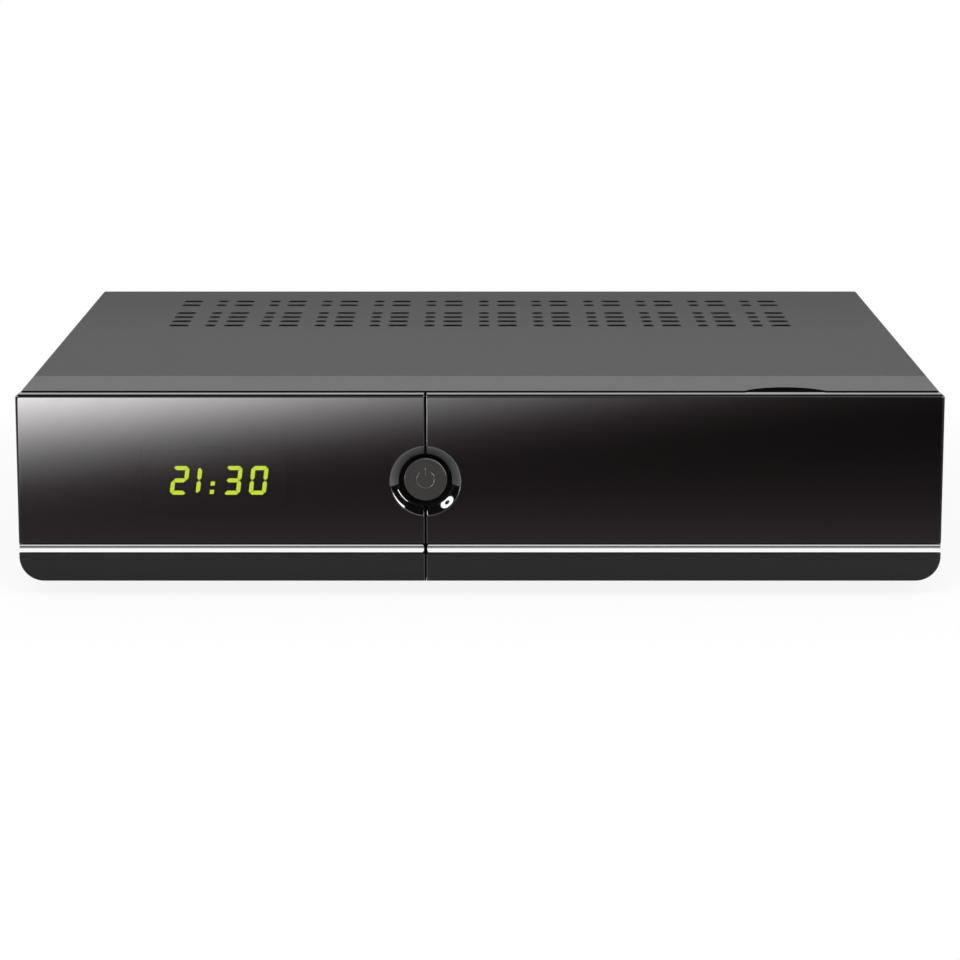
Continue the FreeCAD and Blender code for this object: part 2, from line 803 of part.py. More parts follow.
def bezel_hollows():
    """The space inside the bezel: behind the left section, behind the flap and over the flap's lip."""
    side, upper = "(cover_half - bezel_wall)", "top - bezel_wall"
    low_round, middle = "bottom_round - bezel_wall", "seam_x - bezel_wall"
    behind_left = slab("XZ_Plane", ("rim + bezel_wall", "bezel_back"),
                       (f"-{side}", "bottom + bezel_wall", low_round), (middle, "bottom + bezel_wall"),
                       (middle, upper), (f"-{side}", upper))
    behind_flap = slab("XZ_Plane", ("relief_back + bezel_wall", "bezel_back"),
                       (middle, "bottom + bezel_wall"), (side, "bottom + bezel_wall", low_round),
                       (side, upper), (middle, upper))
    over_lip = block(("seam_x", side), ("wall_back", "relief_back + bezel_wall"),
                     ("relief_top + bezel_wall", upper))
    return behind_left, behind_flap, over_lip


def slot_through_wall(middle, width, height):
    """The opening in the recess's wall for a socket that stands on the main board."""
    return block(around(middle, f"{width} + 2 * pusher_clearance"), ("recess_back", "wall_back"),
                 ("board_top - pusher_clearance", f"board_top + {height} + pusher_clearance"))


def make_bezel():
    shell = slab("XZ_Plane", ("rim", "bezel_back"),
                 ("-cover_half", "bottom", "bottom_round"), ("cover_half", "bottom", "bottom_round"),
                 ("cover_half", "top", "cover_bend"), ("-cover_half", "top", "cover_bend"))
    behind_left, behind_flap, over_lip = bezel_hollows()
    recess = block(("seam_x", "cover_half - recess_border"), ("rim", "recess_back"),
                   ("relief_top", "top - recess_border"))
    relief = block(("cheek_side", "half_width"), ("rim", "relief_back"), ("bottom", "relief_top"))
    cheek = block(("seam_x - pin_reach - bezel_wall", "cheek_side"),
                  ("rim", "pivot_y + pin_radius + bezel_wall"),
                  around("pivot_z", "2 * (pin_radius + bezel_wall)"))
    guide = rod("y", "guide_radius + bezel_wall", ("rim", "wall_back"), "seam_x", "button_z")
    scoop = overlap(rod("z", "notch_radius + bezel_wall", ("notch_floor - bezel_wall", "top"),
                        "notch_x", "notch_centre_y"),
                    block(around("notch_x", "2 * (notch_radius + bezel_wall)"),
                          ("recess_back", "bezel_back"), ("bottom", "top")))
    bosses = [rod("y", "boss_radius", (wall, "front_board_face"), x, z)
              for x, z, wall in front_board_bosses()]
    tabs = [block(around(f"{side} * tab_x", "tab_width"),
                  ("bezel_back - bezel_wall", "bezel_back + tab_reach"),
                  ("floor_top", "floor_top + bezel_wall")) for side in (-1, 1)]
    body = join(cut(shell, behind_left, behind_flap, over_lip, recess), cheek, guide, scoop, *bosses, *tabs)
    left_hole = rod("x", "pin_radius", ("seam_x - pin_reach", "cheek_side"), "pivot_y", "pivot_z")
    right_hole = rod("x", "pin_radius", ("cover_half - recess_border",
                                         "cover_half - recess_border + pin_depth"), "pivot_y", "pivot_z")
    button_hole = rod("y", "guide_radius", ("rim", "wall_back"), "seam_x", "button_z")
    button_space = rod("y", "guide_radius + bezel_wall", ("wall_back", "bezel_back"), "seam_x", "button_z")
    notch = rod("z", "notch_radius", ("notch_floor", "top"), "notch_x", "notch_centre_y")
    key_holes = [block(around(key_x(index), "key_width + 2 * pusher_clearance"),
                       ("recess_back", "wall_back"),
                       around("key_z", "key_height + 2 * pusher_clearance"))
                 for index in range(len(KEY_NAMES))]
    window = block(around("display_x", "display_width + 2 * pusher_clearance"), ("rim", "rim + bezel_wall"),
                   around("display_z", "display_height + 2 * pusher_clearance"))
    pilots = [rod("y", "small_screw_radius", ("front_board_face - small_screw_length", "front_board_face"),
                  x, z) for x, z, wall in front_board_bosses()]
    tab_holes = [rod("z", "screw_radius", ("floor_top", "floor_top + bezel_wall"), f"{side} * tab_x",
                     "bezel_back + tab_reach / 2") for side in (-1, 1)]
    keep("front_bezel", cut(body, relief, left_hole, right_hole, button_hole, button_space, notch, window,
                            slot_through_wall("card_reader_x", "card_reader_width", "card_reader_height"),
                            slot_through_wall("front_socket_x", "usb_width", "usb_height"),
                            *key_holes, *pilots, *tab_holes))


def make_power_button():
    """A turned cap with a flange that keeps it behind its guide."""
    body = new_body()
    sketch = draw(body, "YZ_Plane", "0")
    flange = "guide_radius + pusher_flange"
    outline(sketch, ("front + button_set_back", "0"),
            ("front + button_set_back", "button_radius", "button_round"),
            ("flange_front", "button_radius"), ("flange_front", flange),
            ("flange_back", flange), ("flange_back", "0"))
    turned = body.newObject("PartDesign::Revolution", "Revolution")
    turned.Profile = sketch
    turned.ReferenceAxis = (sketch, ["H_Axis"])
    turned.Angle = 360
    keep("power_button", move(body, "seam_x", "0", "button_z"))


def make_keys():
    for index, name in enumerate(KEY_NAMES):
        left, right = "-key_width / 2", "key_width / 2"
        low, high = "-key_height / 2", "key_height / 2"
        cap = slab("XZ_Plane", ("recess_back - key_stand", "flange_front"),
                   (left, low, "key_round"), (right, low, "key_round"),
                   (right, high, "key_round"), (left, high, "key_round"))
        move(cap, key_x(index), "0", "key_z")
        flange = block(around(key_x(index), "key_width + 2 * pusher_flange"),
                       ("flange_front", "flange_back"),
                       around("key_z", "key_height + 2 * pusher_flange"))
        keep(name, join(cap, flange))


def make_tact_switches():
    switches = []
    centres = [(key_x(index), "key_z") for index in range(len(KEY_NAMES))] + [("seam_x", "button_z")]
    for x, z in centres:
        case = block(around(x, "switch_size"), ("switch_front", "front_board_face"),
                     around(z, "switch_size"))
        switches.append(join(case, rod("y", "plunger_radius", ("plunger_tip", "switch_front"), x, z)))
    keep("tact_switches", group(*switches))


def make_front_board():
    side = "cover_half - bezel_wall - front_board_margin"
    board = block((f"-({side})", side), ("front_board_face", "front_board_back"),
                  ("front_board_low", "front_board_high"))
    openings = [block(around(middle, f"{width} + 2 * front_board_slack"),
                      ("front_board_face", "front_board_back"),
                      ("front_board_low", f"board_top + {height} + front_board_slack"))
                for middle, width, height in (("card_reader_x", "card_reader_width", "card_reader_height"),
                                              ("front_socket_x", "usb_width", "usb_height"))]
    holes = [rod("y", "small_screw_radius + screw_clearance", ("front_board_face", "front_board_back"), x, z)
             for x, z, wall in front_board_bosses()]
    keep("front_board", cut(board, *openings, *holes))


def make_display():
    keep("display_module", block(around("display_x", "display_width"), ("display_face", "front_board_face"),
                                 around("display_z", "display_height")))
    width, height, bar = value("digit_width"), value("digit_height"), value("segment_width")
    chamfer, gap, middle = value("segment_chamfer"), value("segment_break"), height / 2
    upper = [(chamfer + gap, height), (width - chamfer - gap, height),
             (width - chamfer / 2 - gap, height - chamfer / 2), (width - bar - gap, height - bar),
             (bar + gap, height - bar), (chamfer / 2 + gap, height - chamfer / 2)]
    side = [(width, height - chamfer - gap), (width - chamfer / 2, height - chamfer / 2 - gap),
            (width - bar, height - bar - gap), (width - bar, middle + bar / 2 + gap),
            (width - bar / 2, middle + gap), (width, middle + bar / 2 + gap)]
    across = [(bar / 2 + gap, middle), (bar + gap, middle + bar / 2), (width - bar - gap, middle + bar / 2),
              (width - bar / 2 - gap, middle), (width - bar - gap, middle - bar / 2),
              (bar + gap, middle - bar / 2)]
    lean = math.tan(math.radians(value("digit_slant")))
    length = 3 * value("digit_pitch") + value("colon_space") + width + height * lean
    first = value("display_x") - length / 2
    floor = value("display_z") - height / 2
    face = value("display_face - segment_thickness")

    def lit_shape(points, start):
        """An upright outline, leant over and made as thick as a segment."""
        leant = [Vector(start + x + z * lean, face, floor + z) for x, z in points]
        flat = Part.Face(Part.makePolygon(leant + leant[:1]))
        return flat.extrude(Vector(0, value("segment_thickness"), 0))

    def turned(points, sideways, over):
        """The same outline on the other side of the digit, or in its other half."""
        return [(width - x if sideways else x, height - z if over else z) for x, z in points]

    left_pair = [turned(side, True, False), turned(side, True, True)]
    all_seven = [upper, turned(upper, False, True), across, side, turned(side, False, True), *left_pair]
    shapes = []
    for digit in range(4):
        start = first + digit * value("digit_pitch") + (value("colon_space") if digit > 1 else 0)
        # The second place only ever shows a 1, so it has two bars.
        shapes += [lit_shape(stroke, start) for stroke in (left_pair if digit == 1 else all_seven)]
    colon = first + value("colon_offset")
    for level in (height * value("colon_low"), height * value("colon_high")):
        dot = [(-bar / 2, level - bar / 2), (bar / 2, level - bar / 2),
               (bar / 2, level + bar / 2), (-bar / 2, level + bar / 2)]
        shapes.append(lit_shape(dot, colon))
    segments = document.addObject("Part::Feature", "Segments")
    segments.Shape = Part.makeCompound(shapes)
    keep("display_segments", segments)


def make_top_cover():
    """A folded sheet over the top and both sides, with two interleaved blocks of vent slots."""
    outer_round, inner_round = "cover_bend", "cover_bend - sheet"
    body = slab("XZ_Plane", ("bezel_back", "back"),
                ("-cover_half", "bottom"), ("-inner_half", "bottom"),
                ("-inner_half", "cover_under", inner_round), ("inner_half", "cover_under", inner_round),
                ("inner_half", "bottom"), ("cover_half", "bottom"),
                ("cover_half", "top", outer_round), ("-cover_half", "top", outer_round))
    first = "-(long_vent_columns - 1) / 2 * vent_column_pitch"
    blocks = ((first, "long_vent_length", "long_vent_columns"),
              (f"{first} + short_vent_offset", "short_vent_length", "long_vent_columns - 1"))
    for x, length, count in blocks:
        sketch = draw(body, "XY_Plane", "top")
        for row in VENT_ROWS:
            y = f"front + vent_first_row + {row} * vent_row_pitch"
            rounded_slot(sketch, x, y, length, "vent_width")
        slots = pocket(body, sketch, "2 * sheet")
        repeat(body, slots, sketch, "vent_column_pitch", count)
    holes = [rod("x", "screw_radius + screw_clearance", (f"-{WIDE}", WIDE), y, SIDE_SCREW_Z)
             for y in SIDE_SCREW_YS]
    keep("top_cover", cut(body, *holes))


VENT_ROWS = (0, 1, 2, 3, 5, 6)
WIDE = "case_width"
SIDE_SCREW_Z = "bottom + side_screw_height"
SIDE_SCREW_YS = ("bezel_back + side_screw_inset", "back - side_screw_inset")
FEET = {"front_left_foot": (-1, "front + foot_front"), "front_right_foot": (1, "front + foot_front"),
        "rear_left_foot": (-1, "back - foot_back"), "rear_right_foot": (1, "back - foot_back")}


def repeat(body, feature, sketch, pitch, count):
    """Repeat a cut along X. The pattern is the body's tip, or it would not count."""
    document.recompute()
    pattern = body.newObject("PartDesign::LinearPattern", "Pattern")
    pattern.Originals = [feature]
    pattern.Direction = (sketch, ["H_Axis"])
    bind(pattern, "Length", f"({count} - 1) * {pitch}")
    bind(pattern, "Occurrences", count)
    body.Tip = pattern


def flange_screws():
    return [(f"{side} * flange_screw_x", "panel_inside - flange_depth / 2") for side in (-1, 1)]


def tab_screws():
    return [(f"{side} * tab_x", "bezel_back + tab_reach / 2") for side in (-1, 1)]


def foot_places():
    return [(f"{side} * foot_x", y) for side, y in FEET.values()]


def make_base_pan():
    pan = slab("XZ_Plane", ("bezel_back", "panel_inside"),
               ("-inner_half", "bottom"), ("inner_half", "bottom"),
               ("inner_half", "bottom + pan_wall_height"),
               ("inner_half - sheet", "bottom + pan_wall_height"), ("inner_half - sheet", "floor_top"),
               ("-(inner_half - sheet)", "floor_top"),
               ("-(inner_half - sheet)", "bottom + pan_wall_height"),
               ("-inner_half", "bottom + pan_wall_height"))
    sketch = draw(pan, "XY_Plane", "floor_top")
    slot_x = "-(floor_slots - 1) / 2 * floor_slot_pitch"
    left, right = around(slot_x, "floor_slot_width")
    low, high = around("0", "floor_slot_length")
    outline(sketch, (left, low), (right, low), (right, high), (left, high))
    slots = pocket(pan, sketch, "2 * sheet")
    repeat(pan, slots, sketch, "floor_slot_pitch", "floor_slots")
    rear_edge = block(("-inner_half", "inner_half"), ("panel_inside", "back"), ("bottom", "floor_top"))
    through = ("bottom", "floor_top")
    holes = [rod("z", "screw_radius + screw_clearance", through, x, y)
             for x, y in flange_screws() + tab_screws() + foot_places()]
    holes += [rod("x", "screw_radius + screw_clearance", (f"-{WIDE}", WIDE), y, SIDE_SCREW_Z)
              for y in SIDE_SCREW_YS]
    keep("base_pan", cut(join(pan, rear_edge), *holes))


def make_feet():
    """Make the feet and give back the screws that hold them."""
    well_top = "foot_well"
    screws = []
    for name, (side, y) in FEET.items():
        x = f"{side} * foot_x"
        foot = cut(cone("z", "foot_radius - foot_taper", "foot_radius", ("0", "foot_height"), x, y),
                   rod("z", "foot_well_radius", ("0", well_top), x, y),
                   rod("z", "screw_radius + screw_clearance", (well_top, "foot_height"), x, y))
        keep(name, foot)
        head = rod("z", "board_head_radius", (f"{well_top} - board_head_height / 2", well_top), x, y)
        shank = rod("z", "screw_radius", (well_top, "floor_top + sheet"), x, y)
        screws.append(join(head, shank))
    return screws


def make_case_screws(screws):
    """The feet's screws, and four more through the cover's sides, two into the bezel, two into the panel."""
    for side, turn in (("-1", "-"), ("1", "")):
        for y in SIDE_SCREW_YS:
            ends = ["cover_half", "cover_half + case_head_height"]
            shank = ["inner_half - sheet - 2 * screw_radius", "cover_half"]
            if turn:
                ends, shank = [[f"-({end})" for end in reversed(span)] for span in (ends, shank)]
            screws.append(join(rod("x", "case_head_radius", ends, y, SIDE_SCREW_Z),
                               rod("x", "screw_radius", shank, y, SIDE_SCREW_Z)))
    head = ("bottom - case_head_height", "bottom")
    tips = ((tab_screws(), "floor_top + bezel_wall"),
            (flange_screws(), "floor_top + sheet + screw_radius"))
    for points, tip in tips:
        for x, y in points:
            screws.append(join(rod("z", "case_head_radius", head, x, y),
                               rod("z", "screw_radius", ("bottom", tip), x, y)))
    keep("case_screws", group(*screws))


# The boards: the main one behind the front board, and the power supply's behind the left section.
BOARDS = {
    "main_board": ("main_board_left", "main_board_right", "front + main_board_front"),
    "power_board": ("power_board_left", "power_board_right", "front + power_board_front"),
}
BOARD_BACK = "panel_inside - board_rear_gap - flange_depth"


def board_screws_at(left, right, near):
    for x in (f"{left} + standoff_inset", f"{right} - standoff_inset"):
        for y in (f"{near} + 3 * standoff_inset", f"{BOARD_BACK} - standoff_inset"):
            yield x, y


def make_boards():
    standoffs, screws = [], []
    for name, (left, right, near) in BOARDS.items():
        points = list(board_screws_at(left, right, near))
        holes = [rod("z", "screw_radius + screw_clearance", ("board_low", "board_top"), x, y)
                 for x, y in points]
        plate = block((left, right), (near, "panel_inside - board_rear_gap"), ("board_low", "board_top"))
        keep(name, cut(plate, *holes))
        for x, y in points:
            bore = rod("z", "screw_radius", ("floor_top", "board_low"), x, y)
            standoffs.append(cut(rod("z", "standoff_radius", ("floor_top", "board_low"), x, y), bore))
            head = ("board_top", "board_top + board_head_height")
            screws.append(join(rod("z", "board_head_radius", head, x, y),
                               rod("z", "screw_radius", ("floor_top + screw_radius", "board_top"), x, y)))
    head = ("front_board_back", "front_board_back + board_head_height")
    shank = ("front_board_face - small_screw_length", "front_board_back")
    for x, z, wall in front_board_bosses():
        screws.append(join(rod("y", "board_head_radius", head, x, z),
                           rod("y", "small_screw_radius", shank, x, z)))
    keep("board_standoffs", group(*standoffs))
    keep("board_screws", group(*screws))


def on_board(x, y, height):
    return block(x, y, ("board_top", f"board_top + {height}"))


def make_main_board_parts():
    reader = on_board(around("card_reader_x", "card_reader_width"),
                      ("recess_back", "recess_back + card_reader_length"), "card_reader_height")
    card_slot = block(around("card_reader_x", "card_slot_width"),
                      ("recess_back", "recess_back + card_reader_length - bezel_wall"),
                      around("(board_top + card_reader_height / 2)", "card_slot_height"))
    keep("card_reader", cut(reader, card_slot))
    usb_z = ("board_top + usb_shell", "board_top + usb_height - usb_shell")
    usb_y = ("recess_back", "recess_back + usb_length")
    shell = on_board(around("front_socket_x", "usb_width"), usb_y, "usb_height")
    well = block(around("front_socket_x", "usb_width - 2 * usb_shell"),
                 (usb_y[0], f"{usb_y[1]} - usb_width / 2"), usb_z)
    tongue = block(around("front_socket_x", "usb_width - 4 * usb_shell"),
                   (f"{usb_y[0]} + usb_shell", usb_y[1]),
                   (f"{usb_z[1]} - usb_tongue", f"{usb_z[1]}"))
    keep("front_usb_socket", join(cut(shell, well), tongue))
    chip_x, chip_y = around("chip_x", "chip_size"), around("(front + chip_y)", "chip_size")
    keep("main_chip", on_board(chip_x, chip_y, "chip_height"))
    base_z = ("board_top + chip_height", "board_top + chip_height + sink_base")
    fins = []
    for index in range(round(value("sink_fins"))):
        low = f"chip_x - chip_size / 2 + {index} * (chip_size - fin_thickness) / (sink_fins - 1)"
        fin_z = (base_z[0], f"{base_z[0]} + sink_height")
        fins.append(block((low, f"{low} + fin_thickness"), chip_y, fin_z))
    keep("main_chip_heatsink", join(block(chip_x, chip_y, base_z), *fins))
    cans = []
    for index in range(4):
        cans.append(rod("z", "capacitor_radius", ("board_top", "board_top + capacitor_height"),
                        f"chip_x - chip_size - 2 * capacitor_radius + {index % 2} * capacitor_pitch",
                        f"front + chip_y + ({index // 2} - 1) * capacitor_pitch"))
    keep("main_board_capacitors", group(*cans))


def make_power_board_parts():
    width, depth = "transformer_width", "transformer_depth"
    y = "(front + transformer_y)"
    core_z = ("board_top", "board_top + transformer_height")
    core = block(around("transformer_x", width), around(y, "core_thickness"), core_z)
    winding = block(around("transformer_x", f"{width} - core_thickness"), around(y, depth),
                    ("board_top", "board_top + transformer_height - core_thickness / 2"))
    keep("transformer", join(core, winding))
    far = "(front + transformer_y - transformer_depth - reservoir_radius)"
    cans = [rod("z", "reservoir_radius", ("board_top", "board_top + reservoir_height"),
                "power_board_left + standoff_inset + reservoir_radius", far)]
    for index in (0, 1):
        cans.append(rod("z", "capacitor_radius", ("board_top", "board_top + capacitor_height"),
                        f"power_board_right - 2 * capacitor_radius - {index} * capacitor_pitch", far))
    keep("power_capacitors", group(*cans))
    plate_x = ("power_board_right - 2 * plate_sink_thickness", "power_board_right - plate_sink_thickness")
    keep("power_heatsink", on_board(plate_x, around(y, "plate_sink_length"), "plate_sink_height"))


def make_internal_wiring():
    """A flat ribbon between the front and main boards, and a wire loom between the two lying boards."""
    plug_x = around("ribbon_x", "ribbon_width + 2 * ribbon_thickness")
    upper_z = around("button_z", "plug_thickness")
    upper_plug = block(plug_x, ("front_board_back", "front_board_back + plug_height"), upper_z)
    stand = "(front_board_back + plug_height + 4 * ribbon_bend)"
    lower_plug = on_board(plug_x, around(stand, "plug_thickness"), "plug_height")
    near, far = "front_board_back + plug_height", f"{stand} + ribbon_thickness / 2"
    low, high = "board_top + plug_height", "button_z + ribbon_thickness / 2"
    keep("ribbon_cable", slab("YZ_Plane", around("ribbon_x", "ribbon_width"),
                              (near, high), (near, f"{high} - ribbon_thickness"),
                              (f"{far} - ribbon_thickness", f"{high} - ribbon_thickness",
                               "ribbon_bend - ribbon_thickness"),
                              (f"{far} - ribbon_thickness", low), (far, low), (far, high, "ribbon_bend")))
    half_plug, y = "plug_thickness / 2", around("(front + harness_y)", "harness_width")
    left, right = "(power_board_right - plug_thickness)", "(main_board_left + plug_thickness)"
    plugs = [on_board((f"{x} - {half_plug}", f"{x} + {half_plug}"), y, "plug_height") for x in (left, right)]
    keep("wiring_plugs", group(upper_plug, lower_plug, *plugs))
    outer_left, outer_right = f"{left} - harness_thickness / 2", f"{right} + harness_thickness / 2"
    inner_left, inner_right = f"{left} + harness_thickness / 2", f"{right} - harness_thickness / 2"
    arch = "board_top + plug_height + harness_rise"
    under, inner_bend = f"{arch} - harness_thickness", "ribbon_bend - harness_thickness"
    keep("power_harness", slab("XZ_Plane", y, (outer_left, low), (inner_left, low),
                               (inner_left, under, inner_bend), (inner_right, under, inner_bend),
                               (inner_right, low), (outer_right, low),
                               (outer_right, arch, "ribbon_bend"), (outer_left, arch, "ribbon_bend")))


AERIALS = {
    "aerial_input_socket": "(aerial_x + aerial_pitch / 2)",
    "aerial_loop_socket": "(aerial_x - aerial_pitch / 2)",
}
AERIAL_Z = "(board_top + tuner_height / 2)"
PHONOS = {"phono_video_socket": (1, 0), "phono_left_socket": (1, 1),
          "phono_right_socket": (-1, 1), "phono_digital_socket": (-1, 0)}


def phono_centre(side, level):
    return (f"(phono_x + {side} * phono_pitch / 2)",
            f"(board_top + phono_rise / 2 + {level} * phono_rise)")


def make_aerial_sockets():
    left, right = "aerial_x - aerial_pitch", "aerial_x + aerial_pitch - tuner_wall"
    near = "panel_inside - tuner_length"
    can = on_board((left, right), (near, "panel_inside"), "tuner_height")
    space = on_board((f"{left} + tuner_wall", f"{right} - tuner_wall"),
                     (f"{near} + tuner_wall", "panel_inside - tuner_wall"), "tuner_height - tuner_wall")
    keep("tuner_can", cut(can, space))
    end = "back + aerial_reach"
    for name, x in AERIALS.items():
        barrel = rod("y", "aerial_radius", ("panel_inside", end), x, AERIAL_Z)
        nut = rod("y", "aerial_nut_radius", ("back", "back + aerial_nut_height"), x, AERIAL_Z)
        well_floor = f"{end} - aerial_hole_depth"
        bore = rod("y", "aerial_core_radius", (well_floor, end), x, AERIAL_Z)
        core = rod("y", "aerial_core_radius", (well_floor, f"{end} - aerial_core_set_back"), x, AERIAL_Z)
        pin_hole = rod("y", "aerial_hole_radius", (f"{well_floor} + sheet", end), x, AERIAL_Z)
        keep(name, group(cut(join(barrel, nut), bore), cut(core, pin_hole)))


def make_phono_sockets():
    for name, (side, level) in PHONOS.items():
        x, z = phono_centre(side, level)
        case = block(around(x, "phono_case"), ("panel_inside - phono_depth", "panel_inside"),
                     around(z, "phono_rise"))
        barrel = rod("y", "phono_radius", ("panel_inside", "back + phono_reach"), x, z)
        collar = rod("y", "phono_collar_radius", ("back", "back + phono_collar"), x, z)
        hole = rod("y", "phono_hole_radius", ("back", "back + phono_reach"), x, z)
        keep(name, cut(join(case, barrel, collar), hole))


def make_scart_socket():
    x, width = "scart_x", "scart_width"
    face = "back + socket_stand_out"
    shell = on_board(around(x, width), ("panel_inside - scart_depth", face), "scart_height")
    z = "(board_top + scart_height / 2)"
    low, high = around(z, "scart_height - 2 * scart_rim")
    left, right = around(x, "scart_width - 2 * scart_rim")
    well = slab("XZ_Plane", (f"{face} - scart_well", face),
                (left, low), (f"{right} - scart_rim", low), (right, f"{low} + scart_rim"),
                (right, high), (left, high))
    tongue = block(around(x, "scart_width - 4 * scart_rim"), (f"{face} - scart_well", f"{face} - scart_rim"),
                   around(z, "scart_tongue"))
    keep("scart_socket", join(cut(shell, well), tongue))


def make_data_sockets():
    face = "back + socket_stand_out"
    hdmi = on_board(around("hdmi_x", "hdmi_width"), (f"{face} - hdmi_depth", face), "hdmi_height")
    well_z = ("board_top + usb_shell", "board_top + hdmi_height - usb_shell")
    well_y = (f"{face} - hdmi_well", face)
    well = block(around("hdmi_x", "hdmi_width - 2 * usb_shell"), well_y, well_z)
    tongue = block(around("hdmi_x", "hdmi_width - 6 * usb_shell"),
                   (well_y[0], f"{face} - usb_shell"),
                   around("(board_top + hdmi_height / 2)", "2 * usb_shell"))
    keep("hdmi_socket", join(cut(hdmi, well), tongue))
    network = on_board(around("network_x", "network_width"), (f"{face} - network_depth", face),
                       "network_height")
    plug_y = (f"{face} - network_well", face)
    plug_top = "board_top + network_height - socket_stand_out"
    plug_low = f"{plug_top} - network_well_height"
    plug_space = block(around("network_x", "network_well_width"), plug_y, (plug_low, plug_top))
    latch_space = block(around("network_x", "network_well_width / 2"), plug_y,
                        ("board_top + network_floor", plug_low))
    keep("network_socket", cut(network, plug_space, latch_space))


SERIAL_POSTS = [f"serial_x + {side} * serial_post_spacing / 2" for side in (-1, 1)]


def serial_shell(span, slack="0"):
    """The D-shaped part of the serial socket, or its opening in the rear panel."""
    half_width = f"(serial_shell_width / 2 + {slack})"
    low = f"board_top + (serial_height - serial_shell_height) / 2 - {slack}"
    high = f"board_top + (serial_height + serial_shell_height) / 2 + {slack}"
    return slab("XZ_Plane", span, (f"serial_x - {half_width} + sheet", low, "sheet"),
                (f"serial_x + {half_width} - sheet", low, "sheet"),
                (f"serial_x + {half_width}", high, "sheet"), (f"serial_x - {half_width}", high, "sheet"))


def make_serial_socket():
    case = on_board(around("serial_x", "serial_width"), ("panel_inside - serial_depth", "panel_inside"),
                    "serial_height")
    end = "back + serial_reach"
    z = "(board_top + serial_height / 2)"
    posts = [rod("y", "serial_post_radius", ("panel_inside", end), x, z) for x in SERIAL_POSTS]
    pins = []
    for count, level in ((5, 1), (4, -1)):
        for index in range(count):
            pins.append(rod("y", "serial_pin_radius", (f"{end} - serial_reach", end),
                            f"serial_x + ({index} - ({count} - 1) / 2) * serial_pin_pitch",
                            f"{z} + {level} * serial_pin_pitch / 2"))
    keep("serial_socket", cut(join(case, serial_shell(("panel_inside", end)), *posts), *pins))


def obround(span, x, z, length, width):
    """A body with one round-ended outline that faces front and back."""
    body = new_body()
    sketch = draw(body, "XZ_Plane", span[1])
    rounded_slot(sketch, x, z, length, width)
    pad(body, sketch, f"({span[1]}) - ({span[0]})")
    return body


def make_mains_inlet():
    face = "back + inlet_flange"
    case = block(around("inlet_x", "inlet_width"), ("back - inlet_depth", "back"),
                 around("mains_z", "inlet_height"))
    flange = block(around("inlet_x", "inlet_width + 2 * inlet_flange"), ("back", face),
                   around("mains_z", "inlet_height + 2 * inlet_flange"))
    well_floor = f"{face} - inlet_well"
    well = obround((well_floor, face), "inlet_x", "mains_z", "inlet_well_width", "inlet_well_height")
    pins = [rod("y", "inlet_pin_radius", (well_floor, f"{well_floor} + inlet_pin_length"),
                f"inlet_x + {side} * inlet_pin_pitch / 2", "mains_z") for side in (-1, 1)]
    keep("mains_inlet", group(cut(join(case, flange), well), *pins))


def make_mains_switch():
    face = "back + switch_flange"
    case = block(around("switch_x", "switch_width"), ("back - switch_depth", "back"),
                 around("mains_z", "switch_height"))
    flange = block(around("switch_x", "switch_width + 2 * switch_flange"), ("back", face),
                   around("mains_z", "switch_height + 2 * switch_flange"))
    well = block(around("switch_x", "rocker_width + 2 * rocker_side_gap"), (f"{face} - rocker_depth", face),
                 around("mains_z", "rocker_height + 2 * rocker_gap"))
    axle = around("switch_x", "rocker_width + switch_flange")
    bearing = rod("x", "rocker_pin_radius + pin_clearance",
                  around("switch_x", "rocker_width + switch_flange + 2 * rocker_side_gap"),
                  "rocker_y", "mains_z")
    keep("mains_switch_body", cut(join(case, flange), well, bearing))
    half_height = "rocker_height / 2"
    plate = slab("YZ_Plane", around("0", "rocker_width"),
                 ("-rocker_pin_radius", f"-{half_height}"), ("rocker_rise", f"-{half_height}"),
                 ("rocker_rise - rocker_dip", "0"), ("rocker_rise", half_height),
                 ("-rocker_pin_radius", half_height), ("-rocker_heel_depth", "rocker_heel"),
                 ("-rocker_heel_depth", "-rocker_heel"))
    plate.Placement.Rotation = Rotation(Vector(1, 0, 0), -value("rocker_tilt"))
    move(plate, "switch_x", "rocker_y", "mains_z")
    keep("mains_rocker", join(plate, rod("x", "rocker_pin_radius", axle, "rocker_y", "mains_z")))


def make_rear_panel():
    corner = "cover_bend - sheet"
    through = ("panel_inside", "back")
    panel = slab("XZ_Plane", through, ("-inner_half", "floor_top"), ("inner_half", "floor_top"),
                 ("inner_half", "cover_under", corner), ("-inner_half", "cover_under", corner))
    flange_side = "(inner_half - 2 * sheet)"
    flange = block((f"-{flange_side}", flange_side), ("panel_inside - flange_depth", "panel_inside"),
                   ("floor_top", "floor_top + sheet"))
    wide = "2 * socket_slack"
    openings = [rod("y", "aerial_radius + socket_slack", through, x, AERIAL_Z) for x in AERIALS.values()]
    openings += [rod("y", "phono_radius + socket_slack", through, *phono_centre(*place))
                 for place in PHONOS.values()]
    for x, width, height in (("scart_x", "scart_width", "scart_height"),
                             ("hdmi_x", "hdmi_width", "hdmi_height"),
                             ("network_x", "network_width", "network_height")):
        openings.append(block(around(x, f"{width} + {wide}"), through,
                              ("board_top - socket_slack", f"board_top + {height} + socket_slack")))
    openings.append(serial_shell(through, "socket_slack"))
    openings += [rod("y", "serial_post_radius + socket_slack", through, x, "(board_top + serial_height / 2)")
                 for x in SERIAL_POSTS]
    for x, width, height in (("inlet_x", "inlet_width", "inlet_height"),
                             ("switch_x", "switch_width", "switch_height")):
        openings.append(block(around(x, width), through, around("mains_z", height)))
    openings += [rod("z", "screw_radius", ("floor_top", "floor_top + sheet"), x, y)
                 for x, y in flange_screws()]
    keep("rear_panel", cut(join(panel, flange), *openings))


